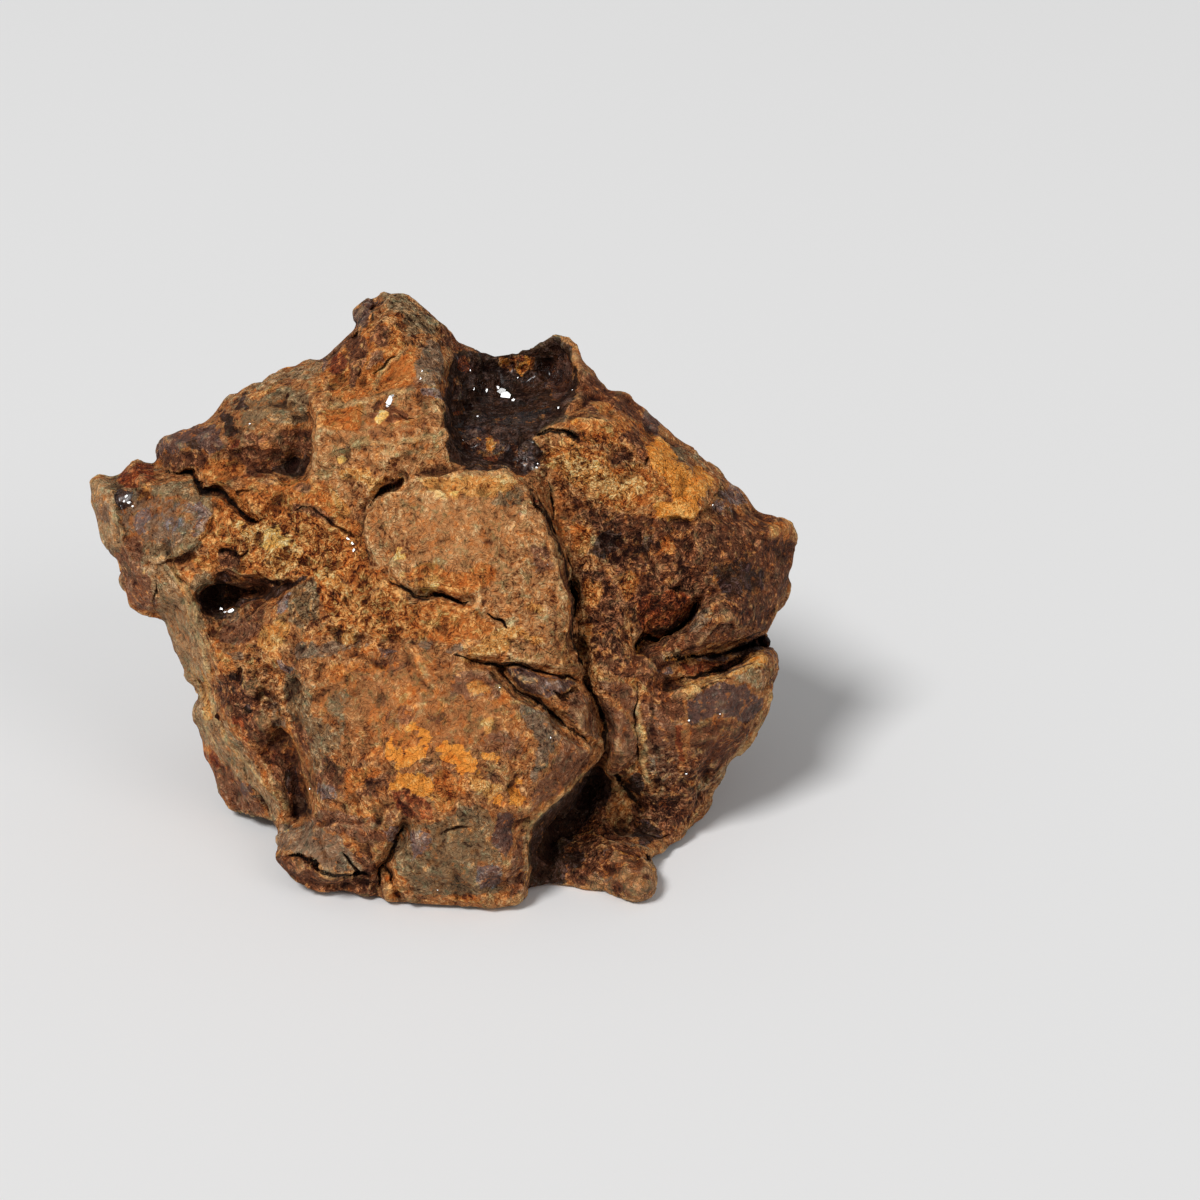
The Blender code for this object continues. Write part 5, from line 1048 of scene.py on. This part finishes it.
    # the hollow at the lower right and the foot
    # painted shade in the deep hollow
    ("dark", 1.0, 0.15, [(3.5, -9.4), (4.1, -8.5), (5.1, -7.7), (5.9, -6.8), (6.5, -6.7), (6.9, -7.4),
        (6.7, -8.2), (6.2, -8.4), (5.9, -9.3), (5.2, -9.7), (5, -10.6), (4.9, -11.3), (3.6, -11.6)]),
    ("brown", 0.9, 0.2, [(5, -9.8), (6, -9), (6.2, -8.3), (6.6, -8.3), (7, -9.1), (7.6, -9.5), (8.1, -10.3),
        (8.8, -11), (8.6, -11.9), (8, -12.2), (6.9, -11.9), (5.5, -11.7), (4.9, -11.2)]),
    ("red", 0.5, 0.25, [(6.1, -8.4), (6.6, -8.4), (7, -9.3), (6.9, -10.3), (6.2, -10.2)]),
    ("mauve", 0.9, 0.25, [(7.4, -10.7), (8.2, -10.6), (8.8, -11), (8.6, -11.9), (8, -12.2), (7.2, -11.8)]),
    ("grey", 0.6, 0.25, [(5.8, -10.9), (7.2, -10.8), (7.2, -11.5), (6.1, -11.4)]),
    ("dark", 0.6, 0.3, [(5, -10), (6, -10), (6.1, -10.8), (5.1, -11)]),
    ("dark", 0.45, 0.3, [(5.9, -9.5), (7.1, -9.4), (7.5, -10.3), (6.4, -10.8)]),
    # the bowl's inner wall, its specks and the dark round its crystal
    ("violet", 0.8, 0.15, [(4.1, 8.3), (4.4, 9.5), (5.0, 9.8), (5.4, 9.2), (5.3, 8.3), (4.8, 7.9)]),
    ("dark", 0.46, 0.2, [(4.2, 8.4), (4.5, 9.5), (5.0, 9.7), (5.3, 9.1), (5.2, 8.3), (4.7, 8.0)]),
    ("warm", 0.9, 0.08, [(2.1, 9.4), (2.4, 9.7), (2.9, 9.6), (2.8, 9.3), (2.4, 9.2)]),
    ("warm", 0.9, 0.08, [(3.0, 9.3), (3.5, 9.5), (3.8, 9.3), (3.5, 8.9), (3.1, 8.9)]),
    ("warm", 0.8, 0.08, [(3.4, 9.6), (3.9, 9.85), (4.0, 9.5)]),
    ("red", 0.8, 0.1, [(0.5, 9.2), (0.7, 9.7), (1.1, 9.6), (1.3, 9.3), (0.9, 9.1)]),
    ("ochre", 0.9, 0.05, [(2.25, 9.45), (2.5, 9.65), (2.75, 9.5), (2.5, 9.35)]),
    ("ochre", 0.9, 0.05, [(2.95, 9.2), (3.3, 9.35), (3.3, 9.05), (3.1, 8.95)]),
    ("ochre", 0.9, 0.05, [(3.5, 9.8), (3.75, 9.85), (3.7, 9.4), (3.55, 9.4)]),
    ("ochre", 0.8, 0.05, [(1.3, 6.4), (1.6, 6.5), (1.5, 6.25)]),
    ("ochre", 0.8, 0.05, [(1.85, 6.35), (2.2, 6.4), (2.25, 6.15), (1.95, 6.1)]),
    ("dark", 1.0, 0.12, [(1.1, 8.7), (1.7, 8.85), (2.3, 8.8), (2.9, 8.7), (3.1, 8.2), (2.6, 7.7),
        (1.8, 7.8), (1.3, 8.1)]),
    ("ochre", 0.9, 0.04, [(2.6, 9.15), (2.85, 9.3), (2.85, 9.0)]),
    ("ochre", 0.8, 0.04, [(3.2, 8.95), (3.45, 9.05), (3.4, 8.8)]),
    # softer changes of tone across the front
    ("brown", 0.95, 0.15, [(-8.7, 0.15), (-8.6, 0.8), (-7.6, 0.95), (-6.4, 0.85), (-6.9, 0.3),
        (-7.9, 0.1)]),
    ("brown", 0.84, 0.25, [(-8.1, -0.1), (-7.2, 0.15), (-6.8, -0.3), (-7, -0.9), (-7.8, -1.1)]),
    ("grey", 0.74, 0.2, [(-8.9, -0.4), (-8.5, -0.2), (-8.1, -0.3), (-8.1, -0.8), (-8.7, -1)]),
    ("brown", 0.65, 0.4, [(-3.1, 10.7), (-2.4, 11.3), (-1.8, 10.9), (-1.9, 10.1), (-2.9, 9.8)]),
    ("straw", 0.74, 0.25, [(-1.2, 0.9), (-0.5, 1.25), (0.1, 1.1), (0.2, 0.7), (-0.4, 0.5), (-1.1, 0.6)]),
    ("brown", 0.74, 0.35, [(6.9, -2), (8, -2.2), (8.8, -2.9), (9.8, -3.3), (9.9, -4.8), (9.2, -5),
        (8.6, -4.2), (7.9, -3.4), (7, -3.1)]),
    ("olive", 0.76, 0.4, [(-6.1, -4.9), (-5.2, -4.6), (-4.3, -4.9), (-3.9, -5.6), (-4.4, -6.3),
        (-5.6, -6.1)]),
    ("brown", 0.64, 0.3, [(-6.1, -5.1), (-5.4, -4.9), (-5, -5.5), (-5.2, -6.2), (-5.9, -6)]),
    # painted shadow under the right lobe's ledge and in the hollow at the lower right
    ("dark", 0.6, 0.3, [(7.6, -8.9), (8.5, -8.8), (9.2, -9.1), (9.1, -9.6), (8.2, -10.1), (7.6, -9.7)]),
    ("dark", 0.7, 0.25, [(4.9, -10.1), (5.4, -9.8), (5.9, -10), (6.1, -10.9), (5.1, -11.1)]),
    ("brown", 0.84, 0.25, [(6.9, -11.1), (7.6, -10.8), (8.4, -10.9), (8.5, -11.7), (7.9, -12.1),
        (7.2, -11.9)]),
    ("straw", 0.84, 0.3, [(-7.3, 1.7), (-6.6, 2), (-5.8, 1.8), (-5.7, 1.2), (-6.7, 1)]),
    ("straw", 0.74, 0.3, [(-8.2, 2.6), (-7.6, 3), (-7, 2.8), (-7, 2.2), (-7.8, 2)]),
    ("warm", 0.74, 0.2, [(5.6, -0.9), (6.1, -1), (6.1, -1.7), (5.8, -2.2)]),
    ("warm", 0.69, 0.3, [(7, 0.9), (7.6, 1.2), (8, 0.8), (7.9, 0.1), (7.2, -0.1)]),
    ("straw", 0.69, 0.35, [(-4.2, -1.1), (-3.4, -0.9), (-2.9, -1.4), (-3.2, -2), (-3.9, -2)]),
    ("tan", 0.64, 0.4, [(-6.1, -3.2), (-5.4, -2.9), (-4.8, -3.4), (-5.1, -4.1), (-5.8, -4)]),
    ("straw", 0.64, 0.35, [(0.8, -3.2), (1.6, -2.9), (2.2, -3.4), (2.3, -4), (1.2, -4)]),
    ("straw", 0.69, 0.3, [(-3, 4.7), (-2.4, 5), (-2, 4.9), (-2.2, 4.1), (-2.9, 4)]),
    ("tan", 0.64, 0.25, [(10.2, -7), (10.9, -6.8), (11, -7.5), (10.6, -8), (10.1, -7.7)]),
    ("slate", 0.74, 0.25, [(3, 5.7), (3.6, 6), (4, 5.6), (3.7, 5.1), (3.1, 5.2)]),
    ("violet", 0.74, 0.25, [(0.3, 8.8), (0.7, 9.1), (1, 8.5), (0.8, 7.9), (0.4, 8)]),
    ("brown", 0.74, 0.3, [(11, -0.3), (11.6, 0.1), (12.1, -0.3), (11.8, -1), (11.1, -0.9)]),
    ("brown", 0.69, 0.3, [(-3.1, -9.3), (-2.5, -9), (-2, -9.2), (-2.1, -9.9), (-2.9, -9.9)]),
    ("brown", 0.74, 0.3, [(10.9, 3.7), (11.5, 4), (12.1, 3.6), (11.9, 3.1), (11.2, 3)]),
    ("grey", 0.64, 0.3, [(-14, 4.1), (-13.4, 4.3), (-13, 3.6), (-13.2, 2.9), (-13.7, 3)]),
    ("brown", 0.62, 0.3, [(-6.2, 4.6), (-5.6, 4.9), (-5, 4.7), (-5.1, 4.1), (-5.8, 4)]),
    ("warm", 0.59, 0.3, [(-2.3, -5.4), (-1.5, -5), (-0.7, -5.2), (-0.5, -5.9), (-1.2, -6.3), (-2, -6.2)]),
    # glossy spots
    ("gloss", 0.46, 0.3, [(0.4, 5.6), (0.3, 8), (0.5, 9.6), (3, 10), (5.2, 9.9), (5.4, 8.2), (4.4, 7.0),
        (4, 5.4), (2.6, 5.5), (1, 5.5)]),
    ("gloss", 1.0, 0.15, [(1.2, 8.7), (2.2, 8.9), (3, 8.7), (3, 8), (2, 7.9), (1.4, 8.1)]),
    ("gloss", 0.7, 0.3, [(3.8, 9.6), (5.3, 9.6), (5.5, 8.5), (4.8, 8), (4, 8.2)]),
    ("gloss", 0.7, 0.3, [(1.2, 8), (3.6, 7.9), (4.6, 7.5), (3.6, 6.8), (1, 6.8)]),
    ("gloss", 0.8, 0.12, [(-13, 4.3), (-12.4, 4.4), (-12.3, 3.6), (-12.7, 3.5)]),
    ("gloss", 0.8, 0.15, [(-9.4, 0.1), (-8, 0.2), (-8, -0.5), (-9.2, -0.8)]),
    ("gloss", 0.6, 0.2, [(11, 4), (11.8, 4), (11.8, 3.5), (11, 3.5)]),
    ("gloss", 0.6, 0.2, [(2.8, 5.9), (4, 5.9), (4, 5.2), (3, 5.2)]),
]
tints = (
    "plain", "clay", "warm", "straw", "mauve", "tan", "olive", "grey",
    "slate", "violet", "brown", "red", "pale", "ochre", "dark", "crust",
)
stonePaint = {
    # Patches of tint round the back: size in mm and strength
    "backPatches": {
        "brown": (6.0, 0.9), "straw": (3.5, 0.6), "red": (3.0, 0.5), "ochre": (3.0, 0.5),
        **{tint: (5.0, 0.8) for tint in ("warm", "mauve", "tan", "olive", "grey", "violet")},
    },
    "backGrain": 0.8,
    "hollow": (6, 0.05),  # rounds of smoothing that find the small hollows, and how deep they are in mm; the hollows get painted shade
    "basin": (60, 0.35),  # the same for the wide ones, which get painted shade too
}


def areaField(places, softness, outline):  # 1 inside the outline, 0 outside it
    outline = np.array(outline + outline[:1], float)
    away, side, along = lineFacts(places, outline)
    inside = np.zeros(len(places), bool)
    for (u0, v0), (u1, v1) in zip(outline[:-1], outline[1:]):
        if v0 == v1:
            continue
        crosses = (v0 > places[:, 1]) != (v1 > places[:, 1])
        inside ^= crosses & (places[:, 0] < (u1 - u0) * (places[:, 1] - v0) / (v1 - v0) + u0)
    return smoothstep(-softness, softness, np.where(inside, away, -away))


def crackField(places, lines):  # 1 along the deeper cracks, which get painted shade
    field = np.zeros(len(places))
    for line, halfWidth, depth in lines:
        away, side, along = lineFacts(places, line)
        width = stoneShape["crackWidth"] * halfWidth * (0.4 + 0.6 * lineEnds(along, 0.4))
        profile = 1 - smoothstep(0.4, 1.5, away / width)
        field = np.maximum(field, lineEnds(along, 0.1) * min(1.0, 1.8 * depth) * profile)
    return field


def paintStone(mesh):
    points, normals = readPoints(mesh)
    seen = inFront(points, normals)
    places = toFace(points)[:, :2]
    ragged = wander(places, points, 40, 1.7)
    fields = {tint: np.zeros(len(points)) for tint in (*tints, "gloss")}
    for tint, strength, softness, outline in stoneAreas:
        low, high = np.min(outline, axis=0) - softness - 0.1, np.max(outline, axis=0) + softness + 0.1
        near = np.flatnonzero(np.all((ragged > low) & (ragged < high), axis=1) & (seen > 0))
        cover = areaField(ragged[near], softness if tint == "ochre" else 1.4 * softness + 0.1, outline)
        cover = smoothstep(0.3, 0.66, cover * strength) if tint != "gloss" else cover * strength
        for other in tints if tint != "gloss" else ():  # each area covers the ones before it
            fields[other][near] *= 1 - cover * (other != tint)
        fields[tint][near] = np.maximum(fields[tint][near], cover)
    for number, tint in enumerate(tints):
        if tint in stonePaint["backPatches"]:
            size, share = stonePaint["backPatches"][tint]
            lumps = lumpy(points, size, 60 + number) + 0.35 * lumpy(points, 1.3, 80 + number)
            fields[tint] = fields[tint] * seen + (1 - seen) * smoothstep(0.1, 0.4, lumps) * share
    stirred = wander(places, points, stoneShape["seed"])
    inBack = crackField(stirred, stoneShape["backCracks"]) * (normals @ towardEye < 0)
    fields["crack"] = np.maximum(crackField(stirred, stoneShape["cracks"]) * seen, inBack)
    # 1 along the ridges, for the painted highlight on them
    ridge = np.zeros(len(points))
    for line, halfWidth, height in stoneShape["ridges"]:
        away, side, along = lineFacts(stirred, line)
        ridge = np.maximum(ridge, lineEnds(along, 0.1) * (1 - smoothstep(0.3, 1.4, away / halfWidth)))
    fields["ridge"] = ridge * seen
    fields["granular"] = blobField(places, stoneShape["granular"]) * seen
    fields["granular"] += (1 - seen) * stonePaint["backGrain"] * backGrain(points)
    fields["smooth"] = blobField(places, stoneShape["smooth"]) * seen
    # How deep each point lies in a small hollow or a wide basin, for the painted shade there
    for name in ("hollow", "basin"):
        rounds, depth = stonePaint[name]
        fields[name] = cavityOf(mesh, points, normals, rounds) / depth
    for name, field in fields.items():
        mesh.attributes.new(name, "FLOAT", "POINT").data.foreach_set("value", field.astype(np.float32))


rustLook = {
    # Each tint runs from its dark through its middle to its light
    "plain": (srgb(86, 37, 12), srgb(174, 112, 64), srgb(238, 182, 124)),
    "clay": (srgb(108, 54, 22), srgb(191, 131, 80), srgb(240, 195, 141)),
    "warm": (srgb(104, 40, 8), srgb(198, 114, 50), srgb(252, 184, 108)),
    "straw": (srgb(132, 66, 20), srgb(222, 152, 78), srgb(255, 216, 148)),
    "mauve": (srgb(64, 27, 13), srgb(128, 82, 57), srgb(190, 138, 106)),
    "tan": (srgb(88, 52, 24), srgb(167, 130, 91), srgb(228, 192, 150)),
    "olive": (srgb(58, 34, 16), srgb(130, 103, 72), srgb(196, 167, 128)),
    "grey": (srgb(54, 35, 24), srgb(130, 102, 79), srgb(188, 158, 130)),
    "slate": (srgb(30, 24, 23), srgb(90, 85, 90), srgb(158, 151, 159)),
    "violet": (srgb(44, 22, 20), srgb(90, 65, 60), srgb(144, 113, 104)),
    "brown": (srgb(37, 10, 4), srgb(95, 52, 33), srgb(182, 114, 78)),
    "red": (srgb(44, 9, 4), srgb(113, 44, 22), srgb(204, 102, 52)),
    "pale": (srgb(235, 148, 58), srgb(255, 203, 110), srgb(255, 233, 172)),
    "ochre": (srgb(140, 62, 10), srgb(240, 150, 58), srgb(255, 190, 104)),
    "dark": (srgb(5, 1, 1), srgb(21, 13, 15), srgb(78, 59, 68)),
    "crust": (srgb(5, 1, 2), srgb(26, 15, 14), srgb(74, 54, 54)),
    # near black, painted shade inside the cracks
    "crack": srgb(10, 2, 1),
    "redder": srgb(255, 228, 196),
    "greyer": srgb(218, 248, 255),
    "roughness": 0.72,
    "coatRoughness": 0.22,
    "bumpDistance": 0.0006,
}


def rustMaterial():
    material = bpy.data.materials.new("weathered rust")
    material.use_nodes = True
    tree = material.node_tree
    shader = tree.nodes["Principled BSDF"]
    shader.inputs["Specular IOR Level"].default_value = 0.13
    start = Value(tree, None)
    inMetres = start.out("ShaderNodeTexCoord", 3)
    place = start.out("ShaderNodeVectorMath", 0, {"operation": "SCALE"}, i0=inMetres, Scale=1000.0)

    def clouds(scale, detail=3.0, distortion=0.0, rough=0.55):  # noise around 0, most of it between -1 and 1
        shape = {"Scale": scale, "Detail": detail, "Roughness": rough, "Distortion": distortion}
        made = start.out("ShaderNodeTexNoise", 0, {"noise_dimensions": "3D"}, Vector=place, **shape)
        return (made - 0.5) * 7.0

    def painted(name):
        return start.out("ShaderNodeAttribute", 2, {"attribute_name": name})

    patchy = clouds(0.8, 3.0, 0.5)
    mottled = clouds(1.9, 3.0, 0.8)
    grainy = clouds(4.0, 2.0, 0.6)
    fine = clouds(8.5, 2.0, 0.4)
    stirred = clouds(1.45, 3.0, 1.6, 0.65)
    curls = clouds(1.7, 1.5, 2.6).size().edge(0.5, 0.05)
    gaps = clouds(2.3, 1.5, 1.8).size().edge(0.4, 0.05)
    granular, smooth = painted("granular"), painted("smooth")
    edges = patchy * 0.10 + mottled * 0.16 + grainy * 0.12

    def mask(name, low=0.34, high=0.62):
        return (painted(name) + edges).edge(low, high) * painted(name).edge(0.02, 0.14)

    busy = (0.8 + granular * 0.6 - smooth * 0.35)
    crumbs = mottled * 0.25 + grainy * 0.75 + fine * 0.2 + curls * 1.0 - gaps * 1.0
    # Painted shade: the tone sinks in the small hollows
    tone = patchy * 0.25 + crumbs * busy - painted("hollow") * 0.35
    toDark, toLight = tone.edge(0.1, -1.5), tone.edge(0.2, 1.6)

    def tint(name):
        dark, middle, light = rustLook[name]
        share = toDark * 0.45 if name in ("ochre", "pale") else toDark
        lower = start.out("ShaderNodeMix", 2, {"data_type": "RGBA"}, i0=share, i6=middle, i7=dark)
        return lower.blendTo(light, toLight)

    warmth = stirred * 0.6 + grainy * 0.5
    colour = tint("plain").blendTo(tint("warm"), (patchy * 0.7 + mottled * 0.4).edge(0.2, 0.9) * 0.8)
    colour = colour.blendTo(tint("mauve"), (patchy * -0.7 + mottled * 0.4).edge(0.3, 1.0) * 0.7)
    for name in tints[1:]:
        if name == "ochre":
            colour = colour.blendTo(tint("warm"), warmth.edge(0.4, 0.9) * 0.55)
            colour = colour.blendTo(tint("brown"), warmth.edge(-0.5, -1.0) * (0.35 + granular * 0.3))
            crisp = (painted("ochre") + edges * 1.5).edge(0.42, 0.58) * painted("ochre").edge(0.02, 0.14)
            colour = colour.blendTo(tint("ochre"), crisp * 0.92)
        else:
            colour = colour.blendTo(tint(name), mask(name) * (0.7 if name == "slate" else 0.88))
    speck = (grainy * 0.5 + fine * 0.6 - gaps * 0.5).edge(-0.8, -1.5)
    colour = colour.blendTo(rustLook["brown"][0], speck * 0.65 * busy)
    # Painted shade: darker in the small hollows and the wide basins
    colour = colour.blendTo(rustLook["brown"][0], painted("hollow").edge(0.15, 1.5) * 0.68)
    colour = colour.blendTo(rustLook["brown"][0], painted("basin").edge(0.5, 2.5) * 0.4)
    # Painted highlight: the edges and the ridges turn pale straw
    lit = painted("hollow").edge(-0.6, -2.2) * 0.25 + painted("ridge") * (0.4 + edges)
    colour = colour.blendTo(rustLook["straw"][2], (lit * (1 - painted("dark") * 0.7)).clamped() * 0.7)
    hue = clouds(1.15, 3.0, 1.0) * 0.5 + clouds(3.1, 2.0, 0.8) * 0.8
    colour = colour.blendTo(rustLook["redder"], hue.edge(0.0, 1.3), "MULTIPLY")
    golden = (painted("pale") + painted("ochre") + painted("straw") * 0.6).clamped()
    colour = colour.blendTo(rustLook["greyer"], hue.edge(0.0, -1.3) * (1 - golden * 0.85), "MULTIPLY")
    # Painted shade: the cracks are coloured near black, as the shade inside them
    colour = colour.blendTo(rustLook["crack"], (painted("crack") + edges * 0.5).edge(0.3, 0.75) * 0.95)
    tree.links.new(colour.socket, shader.inputs["Base Color"])

    gloss = mask("gloss")
    rough = rustLook["roughness"] + fine * 0.08 - gloss * 0.45
    rough = rough - painted("violet") * 0.14 - painted("olive") * 0.08
    tree.links.new(rough.clamped().socket, shader.inputs["Roughness"])
    shader.inputs["Coat Roughness"].default_value = rustLook["coatRoughness"]
    tree.links.new((gloss * 0.55).socket, shader.inputs["Coat Weight"])

    height = (mottled * 0.2 + grainy * 0.34 + fine * 0.17 + curls * 0.5 - gaps * 0.5) * 0.16 * busy
    height = height * (1 + gloss * 0.8)
    bump = start.node("ShaderNodeBump", None, Height=height, Strength=1.0, Distance=rustLook["bumpDistance"])
    tree.links.new(bump.outputs[0], shader.inputs["Normal"])
    return material


print("crystals")
crystalLook = {
    "colour": srgb(46, 42, 30),
    "roughness": 0.2,
    "ior": 1.67,
    "seed": 8,
    "corners": 6,
    "scatter": 0.035,  # how far each face is turned away from the light's mirror image
    # Faces that catch the light: u, v, radius, stretch, turn
    "faces": [
        (2.44, 8.28, 0.21, 1.5, 40), (2.62, 8.12, 0.2, 1.5, 25), (2.3, 8.5, 0.08, 1.2, -20),
        (2.9, 7.98, 0.06, 2.2, 30), (1.85, 8.35, 0.05, 2.6, 70), (1.35, 8.45, 0.04, 2.0, 80),
        (-8.75, -0.38, 0.08, 1.4, 80), (-8.33, -0.46, 0.13, 1.3, 10), (-8.6, -0.5, 0.06, 1.3, 30),
        (-2.0, 8.0, 0.13, 1.8, 65), (-2.08, 7.82, 0.08, 1.8, 70), (-1.9, 8.18, 0.07, 1.4, 60),
        (-12.55, 4.15, 0.06, 1.6, 40), (-12.45, 3.9, 0.05, 1.8, 10), (-12.3, 3.75, 0.04, 1.3, 0),
        (-12.65, 3.95, 0.04, 1.6, 80), (-3.5, 2.25, 0.05, 2.4, -60), (-3.45, 1.98, 0.05, 2.0, 80),
        (-3.68, 2.45, 0.04, 2.2, -30), (-7.6, 7.05, 0.04, 1.3, 0), (4.3, 1.42, 0.03, 1.2, 0),
        (9.95, -4.8, 0.05, 1.6, -50), (12.25, -5.4, 0.035, 1.4, 70), (11.3, -5.4, 0.03, 1.4, 20),
        (9.85, -6.95, 0.04, 1.2, 0), (-0.72, 9.15, 0.03, 2.4, 80), (-0.78, 8.85, 0.03, 2.4, 70),
        (-0.1, -11.6, 0.03, 1.0, 0), (4.75, 7.7, 0.05, 1.5, 20), (-5.2, -7.55, 0.04, 1.3, 30),
        (3.85, 5.3, 0.05, 1.3, 0), (4.42, -5.5, 0.03, 1.4, 60), (3.9, 5.45, 0.03, 1.3, 50),
        (2.38, -3.5, 0.025, 1.2, 0), (11.2, -4.55, 0.03, 1.6, -60), (5.3, 8.4, 0.03, 1.2, 0),
        (10.9, 3.8, 0.03, 1.3, 20), (1.5, 7.35, 0.03, 1.4, 40), (3.1, 8.9, 0.03, 1.5, 10),
        (0.9, 6.4, 0.03, 1.5, 0), (1.2, 9.2, 0.03, 2.0, -40),
    ],
}


def crystalMaterial():
    material = bpy.data.materials.new("dark olivine")
    material.use_nodes = True
    shader = material.node_tree.nodes["Principled BSDF"]
    shader.inputs["Base Color"].default_value = crystalLook["colour"]
    shader.inputs["Roughness"].default_value = crystalLook["roughness"]
    shader.inputs["IOR"].default_value = crystalLook["ior"]
    return material


def crystalMesh(surface):
    rng = np.random.default_rng(crystalLook["seed"])
    towardKey = skyward(*studio["lights"]["key"][:2])
    eye = Vector(toGround([(face["eyeSide"], 0, 0)])[0] + towardEye * face["eyeDistance"])
    shell = bmesh.new()
    for u, v, radius, stretch, turn in crystalLook["faces"]:
        aim = (Vector(toGround([(u, v, 0)])[0]) - eye).normalized()
        spot, normal, _, _ = surface.ray_cast(eye, aim)
        if spot is None:
            continue
        mirror = (towardKey - aim).normalized() + Vector(rng.normal(0, crystalLook["scatter"], 3))
        mirror.normalize()
        level = Vector((1, 0, 0)).cross(mirror).cross(mirror).normalized()
        side = Matrix.Rotation(math.radians(turn), 3, mirror) @ level
        other = mirror.cross(side)
        middle = spot + mirror * radius * 0.2
        corners = []
        for number in range(crystalLook["corners"]):
            angle = math.tau * (number + rng.uniform(-0.3, 0.3)) / crystalLook["corners"]
            reach = radius * rng.uniform(0.75, 1.1)
            flat = side * math.cos(angle) * reach * stretch + other * math.sin(angle) * reach
            corners.append(middle + flat)
            corners.append(middle + flat * 1.35 - mirror * radius * rng.uniform(0.5, 1.2))
        made = [shell.verts.new(corner) for corner in corners]
        bmesh.ops.convex_hull(shell, input=made)
    loose = [vertex for vertex in shell.verts if not vertex.link_faces]
    bmesh.ops.delete(shell, geom=loose, context="VERTS")
    bmesh.ops.recalc_face_normals(shell, faces=shell.faces)
    bmesh.ops.scale(shell, vec=(mm, mm, mm), verts=shell.verts)
    mesh = bpy.data.meshes.new("crystals")
    shell.to_mesh(mesh)
    shell.free()
    return mesh


stoneSurface = stoneMesh()
paintStone(stoneSurface)
surfaceTree = BVHTree.FromPolygons(
    [vertex.co[:] for vertex in stoneSurface.vertices],
    [polygon.vertices[:] for polygon in stoneSurface.polygons],
)
stoneSurface.transform(Matrix.Scale(mm, 4))
stoneSurface.shade_smooth()
showPiece("stoneSurface", stoneSurface, rustMaterial(), "stone")
print("stone:", len(stoneSurface.polygons), "faces")
showPiece("crystals", crystalMesh(surfaceTree), crystalMaterial())
